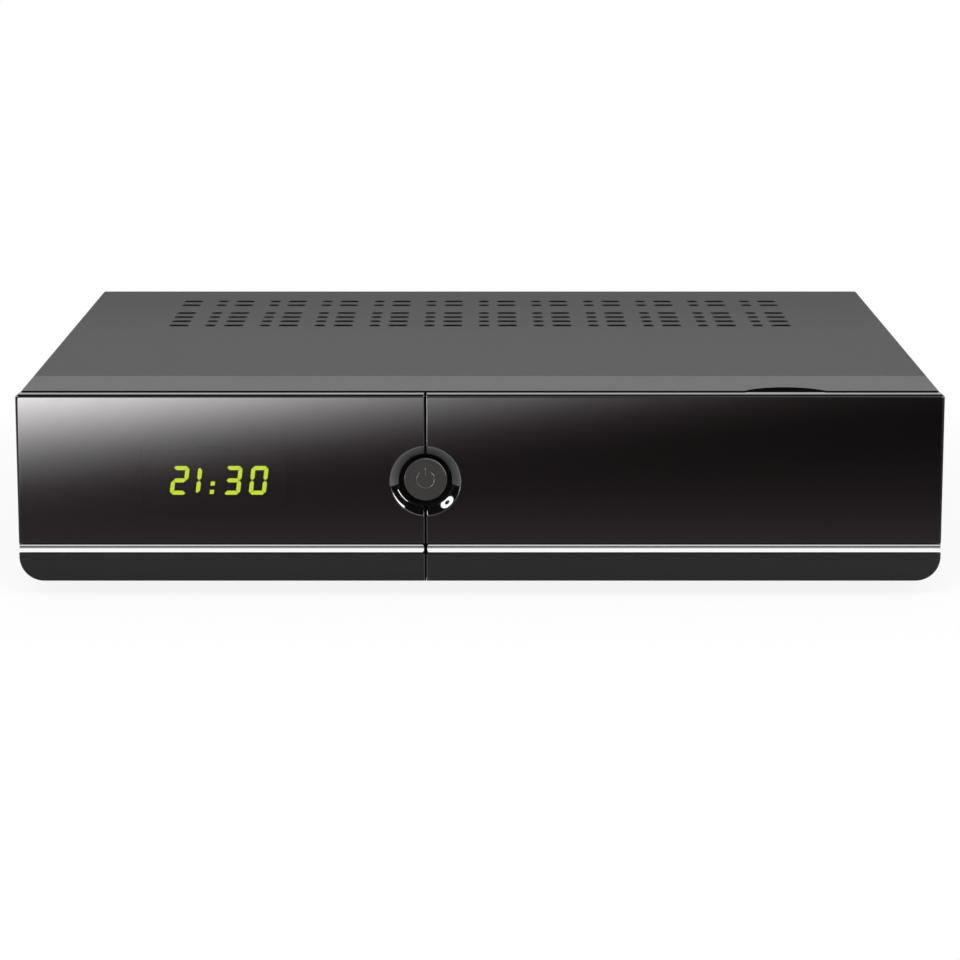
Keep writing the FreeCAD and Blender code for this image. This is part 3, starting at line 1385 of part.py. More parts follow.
def check_everything():
    faults = [f"{thing.Name} ({thing.Label}): {thing.getStatusString()}" for thing in document.Objects
              if "Invalid" in thing.State or "Error" in thing.State]
    faults += [f"{name} has no sound shape" for name, piece in pieces.items()
               if piece.Shape.isNull() or not piece.Shape.isValid() or not piece.Shape.Solids]
    if faults:
        raise RuntimeError("; ".join(faults))


def write_pieces():
    os.makedirs("parts", exist_ok=True)
    for name, piece in pieces.items():
        piece.Shape.exportStep(f"parts/{name}.step")
        print(f"{name}: {len(piece.Shape.Solids)} solids, {piece.Shape.Volume:.0f} mm3")
    print(f"{len(pieces)} pieces")


make_left_section()
make_flap()
make_hinge_and_catch()
make_bezel()
make_power_button()
make_keys()
make_tact_switches()
make_front_board()
make_display()
make_top_cover()
make_base_pan()
make_case_screws(make_feet())
make_boards()
make_main_board_parts()
make_power_board_parts()
make_internal_wiring()
make_aerial_sockets()
make_phono_sockets()
make_scart_socket()
make_data_sockets()
make_serial_socket()
make_mains_inlet()
make_mains_switch()
make_rear_panel()
document.recompute()
check_everything()
write_pieces()
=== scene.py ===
# %% [markdown]
# # Dressing a satellite receiver
#
# The receiver is already a set of exact solids: a folded steel cover, a moulded front in two sections, a
# round button, boards and sockets. This lesson keeps those solids where they are and gives each one the
# finish of the real thing, then adds the small forms that solids leave out: threads, contacts, screw
# heads and raised marks.

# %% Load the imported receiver
import math

import bmesh
import bpy
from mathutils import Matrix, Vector


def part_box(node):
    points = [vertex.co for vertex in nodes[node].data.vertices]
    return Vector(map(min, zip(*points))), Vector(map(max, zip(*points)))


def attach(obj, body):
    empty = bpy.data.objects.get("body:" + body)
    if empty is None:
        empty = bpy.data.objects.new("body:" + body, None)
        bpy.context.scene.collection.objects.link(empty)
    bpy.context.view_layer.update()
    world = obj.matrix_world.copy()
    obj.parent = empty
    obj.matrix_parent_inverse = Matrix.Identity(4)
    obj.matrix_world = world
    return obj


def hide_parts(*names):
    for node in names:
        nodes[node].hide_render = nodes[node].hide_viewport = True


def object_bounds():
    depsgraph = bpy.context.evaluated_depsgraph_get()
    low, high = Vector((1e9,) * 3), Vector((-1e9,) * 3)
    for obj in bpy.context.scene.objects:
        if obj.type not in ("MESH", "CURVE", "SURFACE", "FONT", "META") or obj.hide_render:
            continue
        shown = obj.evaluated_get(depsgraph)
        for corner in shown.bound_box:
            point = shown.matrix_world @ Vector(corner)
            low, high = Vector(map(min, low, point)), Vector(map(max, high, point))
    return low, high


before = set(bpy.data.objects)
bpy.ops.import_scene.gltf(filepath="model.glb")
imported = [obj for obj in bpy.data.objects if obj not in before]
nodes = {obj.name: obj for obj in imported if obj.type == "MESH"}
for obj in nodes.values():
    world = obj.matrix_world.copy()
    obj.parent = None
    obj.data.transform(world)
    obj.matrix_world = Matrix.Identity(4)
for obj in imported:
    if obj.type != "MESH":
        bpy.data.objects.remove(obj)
cad_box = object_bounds()
print("box in mm:", [round(1000 * (high - low), 1) for low, high in zip(*cad_box)])

# %% [markdown]
# A real receiver is a thing of millimetres, and Blender works in metres. One small constant keeps every
# size below readable. The front's own planes are read from the solids, so each added piece sits on the
# surface that carries it. Typed coordinates would do too, but would be wrong after any change of size.

# %% Millimetres, and the planes that the small pieces stand on
MM = 0.001


def low_corner(name):
    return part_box(name)[0]


def high_corner(name):
    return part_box(name)[1]


def middle_of(name):
    low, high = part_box(name)
    return Vector((a + b) / 2 for a, b in zip(low, high))


front_plane = low_corner("flap_panel")[1]
rear_plane = high_corner("rear_panel")[1]
seam_x = middle_of("power_button")[0]
button_z = middle_of("power_button")[2]
print(f"front at {front_plane / MM:.1f}, rear panel at {rear_plane / MM:.1f}, seam at {seam_x / MM:.1f} mm")

# %% [markdown]
# ## The view
#
# A product is best shown from far away through a long lens, so that the sides of the case stay almost
# parallel. The camera stands about a metre in front, a little above the case, and looks slightly down.
# The alternative, a short lens close up, would make the front corners bulge.

# %% Camera
CAMERA_Y, CAMERA_Z = -1.096, 0.2252
LENS, LOOK_DOWN = 123.2, 10.96
camera = bpy.data.objects.new("camera", bpy.data.cameras.new("camera"))
bpy.context.scene.collection.objects.link(camera)
bpy.context.scene.camera = camera
camera.data.sensor_width = 36
camera.data.lens = LENS
camera.location = (0, CAMERA_Y, CAMERA_Z)
camera.rotation_euler = (math.radians(90 - LOOK_DOWN), 0, 0)
print("camera height in mm:", round(camera.location.z / MM))

# %% [markdown]
# ## Shader maths in Python
#
# A finish is a tree of small nodes. Wiring them by hand hides the idea, so one class stands for a number
# that changes over a surface and lets Python's own signs add the Math nodes. A second class holds the
# material and makes any other node from its type, its settings and what goes into its sockets.

# %% A number that changes over a surface


class Level:
    """A socket's value. Python's signs add Math nodes to its finish."""

    def __init__(self, finish, socket):
        self.finish = finish
        self.socket = socket

    def maths(self, operation, first, second=0.0):
        return self.finish.node("ShaderNodeMath", {"operation": operation}, {0: first, 1: second})

    def __add__(self, other):
        return self.maths("ADD", self, other)

    def __radd__(self, other):
        return self.maths("ADD", other, self)

    def __sub__(self, other):
        return self.maths("SUBTRACT", self, other)

    def __rsub__(self, other):
        return self.maths("SUBTRACT", other, self)

    def __mul__(self, other):
        return self.maths("MULTIPLY", self, other)

    def __rmul__(self, other):
        return self.maths("MULTIPLY", other, self)

    def __truediv__(self, other):
        return self.maths("DIVIDE", self, other)

    def __rtruediv__(self, other):
        return self.maths("DIVIDE", other, self)

    def __pow__(self, other):
        return self.maths("POWER", self, other)

    def __rpow__(self, other):
        return self.maths("POWER", other, self)

    def __gt__(self, other):
        return self.maths("GREATER_THAN", self, other)

    def __lt__(self, other):
        return self.maths("LESS_THAN", self, other)

    def __abs__(self):
        return self.maths("ABSOLUTE", self)


print("numbers that change over a surface can be added, multiplied and compared")

# %% A material and its nodes


class Finish:
    """One procedural material, built from Python expressions. A world's light can be built this way too."""

    def __init__(self, name, kept_in=None):
        shelf = bpy.data.materials if kept_in is None else kept_in
        self.holder = shelf.new(name)
        self.holder.use_nodes = True
        self.tree = self.holder.node_tree
        self.tree.nodes.clear()

    def node(self, kind, settings=None, sockets=None, output=0):
        """Make any node: settings first, then a value or a link for each named or numbered socket."""
        made = self.tree.nodes.new(kind)
        for name, setting in (settings or {}).items():
            setattr(made, name, setting)
        for name, given in (sockets or {}).items():
            if isinstance(given, Level):
                self.tree.links.new(given.socket, made.inputs[name])
            else:
                made.inputs[name].default_value = given
        return Level(self, made.outputs[output]) if made.outputs else None

    def place(self):
        """Where a point is, in the object's own metres."""
        return self.node("ShaderNodeTexCoord", output="Object")

    def axes(self):
        """That place as three numbers: across, along and up."""
        parts = self.node("ShaderNodeSeparateXYZ", {}, {0: self.place()})
        return [Level(self, socket) for socket in parts.socket.node.outputs]

    def noise(self, per_metre, detail=2.0, stretch=(1, 1, 1)):
        """A cloudy level with so many grains to a metre. Less than 1 in stretch draws it out that way."""
        scaled = self.node("ShaderNodeMapping", {}, {"Vector": self.place(), "Scale": stretch})
        return self.node("ShaderNodeTexNoise", {}, {"Vector": scaled, "Scale": per_metre, "Detail": detail})

    def blend(self, factor, first, second):
        """A colour between two, from the first at factor 0 to the second at 1."""
        return self.node("ShaderNodeMix", {"data_type": "RGBA"}, {0: factor, 6: first, 7: second}, output=2)

    def most(self, levels):
        """The largest of several levels."""
        largest = levels[0]
        for level in levels[1:]:
            largest = largest.maths("MAXIMUM", largest, level)
        return largest

    def smooth(self, value, start, end):
        """0 at start, 1 at end, and a soft step between. Start may be the larger one."""
        return self.node("ShaderNodeMapRange", {"interpolation_type": "SMOOTHSTEP"},
                         {"Value": value, "From Min": start, "From Max": end})

    def bump(self, height, metres, strength):
        """A skin that leans the light as if it stood up to so many metres high."""
        return self.node("ShaderNodeBump", {}, {"Height": height, "Distance": metres, "Strength": strength})

    def surface(self, **sockets):
        """The shader itself: the names are the shader's sockets with _ for a space."""
        named = {name.replace("_", " "): given for name, given in sockets.items()}
        shader = self.node("ShaderNodeBsdfPrincipled", {}, named)
        self.node("ShaderNodeOutputMaterial", {}, {"Surface": shader})
        return self.holder

    def glow(self, colour, strength):
        """A surface that gives off light and reflects none."""
        shining = self.node("ShaderNodeEmission", {}, {"Color": colour, "Strength": strength})
        self.node("ShaderNodeOutputMaterial", {}, {"Surface": shining})
        return self.holder


print("one method makes every node")

# %% [markdown]
# A finish goes on a whole solid, or on some of its faces. A solid's mesh may not change, but each face of
# it names a material by number, so a second finish only needs a test that picks its faces. The test looks
# at a face's middle and at the way the face looks.

# %% Putting a finish on solids and on some of their faces


def grey(level, warmth=0.0):
    """A grey as red, green, blue and alpha. Warmth leans it from blue to red."""
    return (level * (1 + warmth), level, level * (1 - warmth), 1.0)


def deeper(colour, share):
    """The same colour at a share of its strength."""
    return tuple(share * part for part in colour[:3]) + (1.0,)


def paint(material, *names):
    """Give solids a material. Their meshes stay as they are."""
    for name in names:
        mesh = nodes[name].data
        mesh.materials.clear()
        mesh.materials.append(material)


def paint_some(material, name, chosen):
    """Give some faces of a solid their own finish. The test gets a face's middle in mm and its normal."""
    mesh = nodes[name].data
    mesh.materials.append(material)
    picked = [polygon for polygon in mesh.polygons if chosen(polygon.center / MM, polygon.normal)]
    for polygon in picked:
        polygon.material_index = len(mesh.materials) - 1
    return len(picked)


print("a mid grey:", grey(0.18))

# %% [markdown]
# ## The folded steel cover
#
# The cover is sheet steel under a textured powder paint. Seen close, the paint is a skin of tiny rounded
# bumps about half a millimetre across, and each bump catches a point of light. A noise of that size
# drives a bump map, and a second, larger noise lets the grey drift a little, as sprayed paint does.
# Real displacement would show no more at this distance and would cost millions of faces. The coat is
# given a painted shade that darkens it towards the back, where the light fades, and a darker painted shade
# on the near edge of every slot, where the real punch rolls the edge down into its own shade. The slots
# repeat at a fixed pitch, so a few sums find the nearest one.

# %% Where the vent slots are
COLUMN_PITCH, ROW_PITCH = 18.8 * MM, 10.03 * MM
LONG_SLOTS, SHORT_SLOTS, SLOT_ROWS = 12, 11, 7
FIRST_COLUMN, FIRST_ROW = -5.5 * COLUMN_PITCH, 22.2 * MM
SHORT_SLOT_OFFSET = 10.8 * MM
SKIPPED_ROW = 4
LONG_HALF, SHORT_HALF = 3.3 * MM, 1.8 * MM
SHADE_HALF, SHADE_NEARER = 2.5 * MM, 0.7 * MM
SOFT_STEP = 0.1 * MM


def near_row(finish, value, first, pitch, count, half):
    """1 within half of any of a row of places, and the number of the nearest one."""
    turn = (value - first) / pitch
    nearest = turn.maths("ROUND", turn)
    off = abs(turn - nearest) * pitch
    return finish.smooth(off, half + SOFT_STEP, half) * (nearest > -0.5) * (nearest < count - 0.5), nearest


def slot_shade(finish):
    """1 on the slots and on their near edges, where the coat takes a painted shade."""
    across, along, _ = finish.axes()
    first_short = SHORT_SLOT_OFFSET + FIRST_COLUMN
    long_slots, _ = near_row(finish, across, FIRST_COLUMN, COLUMN_PITCH, LONG_SLOTS, LONG_HALF)
    short_slots, _ = near_row(finish, across, first_short, COLUMN_PITCH, SHORT_SLOTS, SHORT_HALF)
    rows, number = near_row(finish, along, FIRST_ROW - SHADE_NEARER, ROW_PITCH, SLOT_ROWS, SHADE_HALF)
    return finish.most([long_slots, short_slots]) * rows * (abs(number - SKIPPED_ROW) > 0.5)


print("slots in a row:", LONG_SLOTS + SHORT_SLOTS, "and rows with slots:", SLOT_ROWS - 1)

# %% Textured paint on the cover, with painted shade
SHADE_FADE_FRONT, SHADE_FADE_BACK = -20 * MM, 110 * MM
BACK_SHADE_STRENGTH = 0.36


def textured_paint(name, level):
    finish = Finish(name)
    grains = finish.noise(2300, 3.0)
    drift = finish.noise(24, 2.0)
    speckle = finish.smooth(grains, 0.38, 0.66)
    coat = finish.blend(speckle * 0.8 + drift * 0.2, grey(level * 0.80), grey(level * 1.16))
    _, along, _ = finish.axes()
    # Painted shade: the coat is darkened towards the back, standing in for light that fades there.
    painted_back_shade = finish.blend(BACK_SHADE_STRENGTH, coat, grey(0.0))
    coat = finish.blend(finish.smooth(along, SHADE_FADE_BACK, SHADE_FADE_FRONT), painted_back_shade, coat)
    # Painted shade: the slots and their near edges are painted near black.
    coat = finish.blend(slot_shade(finish), coat, grey(0.004))
    return finish.surface(Base_Color=coat, Roughness=0.54 + 0.14 * grains, Specular_IOR_Level=0.15,
                          Normal=finish.bump(grains, 0.12 * MM, 0.55))


paint(textured_paint("textured_grey_paint", 0.060), "top_cover")
print("cover painted")

# %% [markdown]
# ## Smooth grey plastic behind the front
#
# The band between the cover and the front is a moulded frame. Its tool was polished and lightly
# blasted, so it is smoother and a shade lighter than the paint next to it. The frame is painted on its
# outside only: behind the front it is black plastic, and that black is painted deeper than the plastic's
# own as a painted shade, which keeps the seam and the finger notch dark. One mesh takes both finishes,
# because each face may name its own material. The trims, the keys and the sockets are blasted mouldings
# too, so one function with a level, a roughness and a shine makes them all.

# %% Satin plastics


def satin_plastic(name, level, roughness=0.42, warmth=0.0, shine=0.4):
    finish = Finish(name)
    blasted = finish.noise(3200, 2.0)
    cloud = finish.noise(30, 2.0)
    colour = finish.blend(cloud, grey(level * 0.94, warmth), grey(level * 1.06, warmth))
    return finish.surface(Base_Color=colour, Roughness=(roughness - 0.03) + 0.06 * blasted,
                          Specular_IOR_Level=shine, Normal=finish.bump(blasted, 0.02 * MM, 0.4))


paint(satin_plastic("smooth_grey_plastic", 0.061, roughness=0.46, shine=0.18), "front_bezel")
paint(satin_plastic("satin_black_trim", 0.0060, roughness=0.5, shine=0.17),
      "left_lower_trim", "flap_lower_trim")
paint(satin_plastic("button_grey", 0.026, warmth=0.04, shine=0.10), "power_button")
paint(satin_plastic("key_grey", 0.10, roughness=0.45), "menu_key", "ok_key",
      "volume_down_key", "volume_up_key", "channel_down_key", "channel_up_key")
moulded_black = satin_plastic("moulded_black", 0.012, roughness=0.5, shine=0.3)
paint(moulded_black, "flap_frame")
paint(satin_plastic("socket_black", 0.010, roughness=0.45, shine=0.35),
      "scart_socket", "mains_switch_body", "card_reader", "ribbon_cable")
print("satin plastics done")

# %% Painted shade black inside the front moulding
FRAME_TOP, FRAME_SIDE, FRAME_FOOT = 62.4, 138.9, 5.6
# A black deeper than the plastic's own, as painted shade: inside the front, on the slot and well walls, and
# on the seam's tongue.
painted_shade_black = satin_plastic("painted_shade_black", 0.0025, roughness=0.75, shine=0.08)


def is_inside_front(middle, normal):
    """True on all but the top, the two sides and the underside."""
    on_skin = middle.z > FRAME_TOP or abs(middle.x) > FRAME_SIDE or middle.z < FRAME_FOOT
    return not on_skin


hidden = paint_some(painted_shade_black, "front_bezel", is_inside_front)
print(hidden, "faces inside the front moulding are black")

# %% [markdown]
# The slots and the gap round the button lead into the dark case. Their walls would catch the room's light
# and shine like light rims, so they get the same painted shade black. Their faces are found by where they
# lie and by the way they lean.

# %% Painted shade on the walls of the vent slots and of the button's well
SLOTTED_SIDE, SLOTTED_BACK, PUNCHED_DEPTH = 130, 105, 0.9
WELL_REACH = 8.3
cover_top = high_corner("top_cover")[2] / MM


def is_vent_wall(middle, normal):
    """True on the cut edges of the slots and on the cover's underside."""
    in_slotted_field = abs(middle.x) < SLOTTED_SIDE and abs(middle.y) < SLOTTED_BACK
    return in_slotted_field and middle.z > cover_top - PUNCHED_DEPTH and normal.z < 0.5


def from_button_axis(middle):
    """The way from the button's axis to a place in mm, seen from the front."""
    return Vector((middle.x - seam_x / MM, 0, middle.z - button_z / MM))


def is_well_wall(middle, normal):
    """True on the walls round the button, and on the button's own side."""
    return from_button_axis(middle).length < WELL_REACH and abs(normal.y) < 0.3


print("vent walls:", paint_some(painted_shade_black, "top_cover", is_vent_wall))
for name in ("left_fascia", "flap_panel", "flap_frame", "power_button"):
    print(name, "well walls:", paint_some(painted_shade_black, name, is_well_wall))

# %% [markdown]
# ## Gloss black mouldings
#
# The two front sections are moulded in polished black plastic. Such a face has almost no colour of its
# own: what the eye sees is the room mirrored in it. The plastic itself only needs a near black, a low
# roughness and the faint waviness that moulded faces keep, which makes straight reflections swim a
# little. The display's window is the same plastic, tinted but clear enough for the digits. Real glass
# maths would bend the light as well, which a window this thin never shows, so it is part see-through.

# %% Gloss black and the smoked window
GLOSS_SHINE = 0.26
WINDOW_CLOUD = 0.72


def gloss_black(name, alpha=1.0, shine=GLOSS_SHINE):
    finish = Finish(name)
    ripple = finish.noise(55, 2.0)
    haze = finish.noise(700, 3.0)
    return finish.surface(Base_Color=grey(0.0022, 0.04), Roughness=0.05 + 0.04 * haze,
                          Specular_IOR_Level=shine, Alpha=alpha,
                          Normal=finish.bump(ripple, 0.03 * MM, 0.25))


paint(gloss_black("gloss_black"), "left_fascia", "flap_panel")
paint(gloss_black("smoked_window", WINDOW_CLOUD, GLOSS_SHINE / WINDOW_CLOUD), "display_window")
print("gloss mouldings done")

# %% [markdown]
# ## Bright strips
#
# A thin bright strip runs across both sections. It is plated plastic: a rounded lip above a fine groove
# and a wide flat band below. A mirror shows only its surroundings, so the difference between lip and
# band comes mostly from their shape. On top of that, shade is painted into the plating's colour: a
# greyer painted shade on the lip, a darker painted shade line under it, and painted shade along the two
# long edges. Strips of separate pieces would add joints that the real one has not got, so one finish
# changes with the height of each point.

# %% Plating of the strips
SHADE_LINE_BELOW, PALE_BELOW, EDGE_SHADE_BELOW, EDGE_SHADE_ABOVE = 1.42, 0.80, 0.30, 0.16
strip_low, strip_top = (corner[2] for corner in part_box("flap_bright_strip"))


def strip_plating():
    """A bright band, with painted shade: a greyer lip above the groove, a darker line under it, and dark
    edges.
    """
    finish = Finish("strip_plating")
    _, _, up = finish.axes()
    marks = finish.noise(500, 2.0, (0.05, 1, 1))
    smoked = finish.smooth(up, strip_top - SHADE_LINE_BELOW * MM, strip_top - (SHADE_LINE_BELOW - 0.08) * MM)
    pale = finish.smooth(up, strip_top - PALE_BELOW * MM, strip_top - (PALE_BELOW - 0.06) * MM)
    edge_shade_top = finish.smooth(up, strip_top - EDGE_SHADE_BELOW * MM, strip_top - (EDGE_SHADE_BELOW - 0.08) * MM)
    edge_shade_foot = finish.smooth(up, strip_low + EDGE_SHADE_ABOVE * MM, strip_low + (EDGE_SHADE_ABOVE - 0.08) * MM)
    # Painted shade: the smoked line under the lip, the greyer lip and the dark long edges stand in for
    # shading that the strip's shape gives.
    colour = finish.blend(smoked, grey(0.97), grey(0.30))
    colour = finish.blend(pale, colour, grey(0.70))
    colour = finish.blend(finish.most([edge_shade_top, edge_shade_foot]), colour, grey(0.02))
    return finish.surface(Base_Color=colour, Metallic=1.0, Roughness=0.06 + 0.05 * marks)


paint(strip_plating(), "left_bright_strip", "flap_bright_strip")
print("strips plated from", round(strip_low / MM, 2), "to", round(strip_top / MM, 2), "mm")

# %% Painted shade grey on the floor of the strips' groove
GROOVE_FROM, GROOVE_TO, GROOVE_BEHIND = 0.55, 1.05, 0.2


def is_in_groove(middle, normal):
    """True on the floor and walls of the fine groove below the strip's lip."""
    below_top = strip_top / MM - middle.z
    return GROOVE_FROM < below_top < GROOVE_TO and middle.y > front_plane / MM + GROOVE_BEHIND


# Painted shade: the groove is a dull grey, darker than the mirror plating round it.
groove_shade_grey = satin_plastic("groove_shade_grey", 0.16, roughness=0.6, shine=0.3)
for name in ("left_bright_strip", "flap_bright_strip"):
    print(name, "groove faces:", paint_some(groove_shade_grey, name, is_in_groove))

# %% [markdown]
# ## Metals
#
# Sockets are nickel plated, screws are plated or blackened steel, and the pan is zinc-coated sheet. All of
# them are mirrors with tiny marks in them: fine noise for a plated part, and noise stretched across
# the sheet where it was rolled or brushed. One function makes them, given a colour and a roughness.

# %% Plated and brushed metals


def plated(name, colour, roughness, brushed=False):
    finish = Finish(name)
    stretch = (0.06, 1, 1) if brushed else (1, 1, 1)
    marks = finish.noise(900, 3.0, stretch)
    return finish.surface(Base_Color=finish.blend(marks, colour, deeper(colour, 0.9)), Metallic=1.0,
                          Roughness=(roughness - 0.04) + 0.08 * marks,
                          Normal=finish.bump(marks, 0.01 * MM, 0.15))


nickel = plated("nickel", (0.70, 0.68, 0.63, 1.0), 0.18)
paint(nickel, "aerial_input_socket", "aerial_loop_socket", "network_socket", "hdmi_socket",
      "front_usb_socket", "serial_socket")
paint(plated("plated_steel", (0.52, 0.53, 0.54, 1.0), 0.34, brushed=True), "base_pan",
      "flap_hinge_pins", "catch_plate", "tuner_can", "board_standoffs")
paint(plated("screw_steel", (0.50, 0.50, 0.49, 1.0), 0.28), "board_screws")
black_screw = plated("black_screw", (0.035, 0.035, 0.037, 1.0), 0.34)
paint(black_screw, "case_screws")
paint(plated("heatsink_alloy", (0.11, 0.11, 0.12, 1.0), 0.42), "main_chip_heatsink")
paint(plated("bare_alloy", (0.62, 0.63, 0.64, 1.0), 0.36, brushed=True), "power_heatsink")
print("metals done")

# %% [markdown]
# ## Inside, underneath and behind
#
# The rear panel is steel under the same textured paint, in black. The feet are grey-black rubber with a
# dusty bloom. The boards are green lacquer over glass fibre: the copper tracks under the lacquer show as
# slightly lighter lines, made here from a brick pattern that is bent by a noise. Drawing real tracks
# would take hours for boards that are seen only through slots.

# %% Rubber feet and circuit boards


def rubber(name):
    finish = Finish(name)
    bloom = finish.noise(500, 4.0)
    colour = finish.blend(bloom, grey(0.014), grey(0.030))
    return finish.surface(Base_Color=colour, Roughness=0.66 + 0.2 * bloom, Specular_IOR_Level=0.25,
                          Normal=finish.bump(bloom, 0.05 * MM, 0.4))


def circuit_board(name):
    finish = Finish(name)
    waves = finish.noise(120, 1.0)
    wander = finish.node("ShaderNodeTexNoise", {}, {"Vector": finish.place(), "Scale": 60.0}, output="Color")
    bent = finish.node("ShaderNodeVectorMath", {"operation": "MULTIPLY_ADD"},
                       {0: wander, 1: (0.003, 0.003, 0.0), 2: finish.place()})
    tracks = finish.node("ShaderNodeTexBrick", {"offset": 0.37, "squash": 1.4, "squash_frequency": 3},
                         {"Vector": bent, "Scale": 160.0, "Mortar Size": 0.045, "Brick Width": 1.9,
                          "Row Height": 0.30}, output="Fac")
    lacquer = finish.blend(tracks, (0.004, 0.052, 0.021, 1.0), (0.011, 0.105, 0.040, 1.0))
    shade = finish.blend(waves * 0.35, lacquer, (0.002, 0.025, 0.012, 1.0))
    return finish.surface(Base_Color=shade, Roughness=0.30 + 0.1 * waves,
                          Normal=finish.bump(tracks, 0.04 * MM, 0.5))


paint(rubber("foot_rubber"), "front_left_foot", "front_right_foot", "rear_left_foot", "rear_right_foot")
paint(circuit_board("green_board"), "main_board", "power_board", "front_board")
print("feet and boards done")

# %% Panel, sockets and the plastics inside
# The same textured paint brings its painted shade: the rear panel lies at the back, so it is painted darker
# nearly all over.
paint(textured_paint("rear_black_paint", 0.022), "rear_panel")
paint(satin_plastic("display_body", 0.003, roughness=0.6, shine=0.1), "display_module")
paint(satin_plastic("black_part", 0.012, roughness=0.4), "tact_switches", "main_chip")
paint(satin_plastic("capacitor_sleeve", 0.018, roughness=0.35), "main_board_capacitors", "power_capacitors")
paint(satin_plastic("magnet_grey", 0.05, roughness=0.6), "catch_magnet")
paint(satin_plastic("plug_white", 0.70, roughness=0.45), "wiring_plugs")
paint(satin_plastic("harness_sleeve", 0.03, roughness=0.45), "power_harness")
paint(satin_plastic("transformer_grey", 0.06, roughness=0.5), "transformer")
paint(satin_plastic("inlet_black", 0.010), "mains_inlet")
paint(satin_plastic("phono_black", 0.012, roughness=0.4), "phono_video_socket", "phono_left_socket",
      "phono_right_socket", "phono_digital_socket")
print("panel and inner parts done")

# %% [markdown]
# ## The lit digits
#
# The display is a block with seven bars for a digit and two dots between the pairs. All bars are one
# solid set, so the lit ones are told apart by the order in which they were laid: seven to a digit, but
# only the two lit ones for a 1. Lit bars get an emitting material, the others a dead black one. They
# shine through the smoked window, which lets a little over a quarter of their light out. Digits
# printed on the window would be simpler, but the real ones lie behind it.

# %% Which bars are lit
BARS = ("top", "bottom", "middle", "upper_right", "lower_right", "upper_left", "lower_left")
LIT_BARS = {
    "0": {"bottom", "top", "lower_left", "lower_right", "upper_left", "upper_right"},
    "2": {"bottom", "middle", "top", "lower_left", "upper_right"},
    "3": {"bottom", "middle", "top", "lower_right", "upper_right"},
}
BARS_OF_A_1, DOTS = 2, 2
TIME_SHOWN = ("2", "1", "3", "0")


def which_shine():
    """True or False for each bar and dot, in the order in which they were laid."""
    shining = []
    for figure in TIME_SHOWN:
        shining += [True] * BARS_OF_A_1 if figure == "1" else [bar in LIT_BARS[figure] for bar in BARS]
    return shining + [True] * DOTS


print("bars and dots:", len(which_shine()), "and lit:", sum(which_shine()))

# %% Telling the bars apart


def islands(mesh):
    """Groups of faces whose corners share a place."""
    leader = {}

    def root(key):
        while leader[key] != key:
            leader[key] = leader[leader[key]]
            key = leader[key]
        return key

    keys = [tuple(round(part, 6) for part in vertex.co) for vertex in mesh.vertices]
    for key in keys:
        leader.setdefault(key, key)
    for polygon in mesh.polygons:
        first = root(keys[polygon.vertices[0]])
        for index in polygon.vertices[1:]:
            leader[root(keys[index])] = first
    groups = {}
    for polygon in mesh.polygons:
        groups.setdefault(root(keys[polygon.vertices[0]]), []).append(polygon)
    return list(groups.values())


def lit_bar(colour, strength):
    finish = Finish("lit_bar")
    light = finish.blend(finish.noise(900, 1.0), colour, deeper(colour, 0.86))
    return finish.surface(Base_Color=grey(0.02), Emission_Color=light, Emission_Strength=strength)


def light_the_digits():
    mesh = nodes["display_segments"].data
    mesh.materials.clear()
    mesh.materials.append(satin_plastic("dark_bar", 0.003, roughness=0.6, shine=0.1))
    mesh.materials.append(lit_bar((0.62, 0.80, 0.035, 1.0), 11.5))
    bars = sorted(islands(mesh), key=lambda group: min(polygon.index for polygon in group))
    for shines, group in zip(which_shine(), bars):
        for polygon in group:
            polygon.material_index = int(shines)
    return len(bars)


print("bars and dots found in the solids:", light_the_digits())

# %% [markdown]
# ## The dish around the button
#
# The button sits in a conical dish that the seam cuts in two. The upper part of the cone is dull, and its
# dark grey is a painted reflection of the floor, with a lighter painted highlight near the mouth; the lower
# part stays gloss black, with the change on a line through the middle that drops a little to both sides.
# Two pieces would show a joint, so the cone takes one finish whose colour and roughness switch on that
# line, read from the place of each point round the button's axis.

# %% Dish with a painted reflection and a painted highlight
DISH_MOUTH = 10.85
DISH_THROAT = 8.1
DISH_DEPTH = 3.2
LINE_DROP, LINE_BLUR = 0.15, 0.12 * MM
HIGHLIGHT_INSIDE, HIGHLIGHT_WIDTH = 0.42, 0.20
THROAT_SLACK, MOUTH_SLACK, CONE_LEAN = 0.4, 0.05, -0.3


def dish_finish():
    finish = Finish("dish_painted_reflection")
    across, _, up = finish.axes()
    beside, above = across - seam_x, up - button_z
    from_axis = (beside * beside + above * above) ** 0.5
    upper = finish.smooth(above + LINE_DROP * abs(beside), -LINE_BLUR, LINE_BLUR)
    highlight_start = DISH_MOUTH - HIGHLIGHT_INSIDE
    rim = finish.smooth(from_axis, highlight_start * MM, (highlight_start + HIGHLIGHT_WIDTH) * MM)
    # Painted reflection: the upper half's dull dark grey stands for the floor mirrored there.
    dull = finish.blend(finish.noise(1800), (0.024, 0.026, 0.0255, 1.0), (0.028, 0.030, 0.0295, 1.0))
    # Painted highlight: a lighter grey near the mouth of the upper half.
    dull = finish.blend(rim, dull, grey(0.065))
    return finish.surface(Base_Color=finish.blend(upper, grey(0.0022), dull),
                          Roughness=0.06 + 0.34 * upper, Specular_IOR_Level=0.5)


def is_dish(middle, normal):
    """True on the cone: between mouth and throat, and leaning to the front and the axis."""
    out = from_button_axis(middle)
    reach = out.length
    if not DISH_THROAT - THROAT_SLACK < reach < DISH_MOUTH + MOUTH_SLACK:
        return False
    return normal.y < CONE_LEAN and normal.dot(out / reach) < CONE_LEAN


dish = dish_finish()
for name in ("left_fascia", "flap_panel", "flap_frame"):
    print(name, "dish faces:", paint_some(dish, name, is_dish))

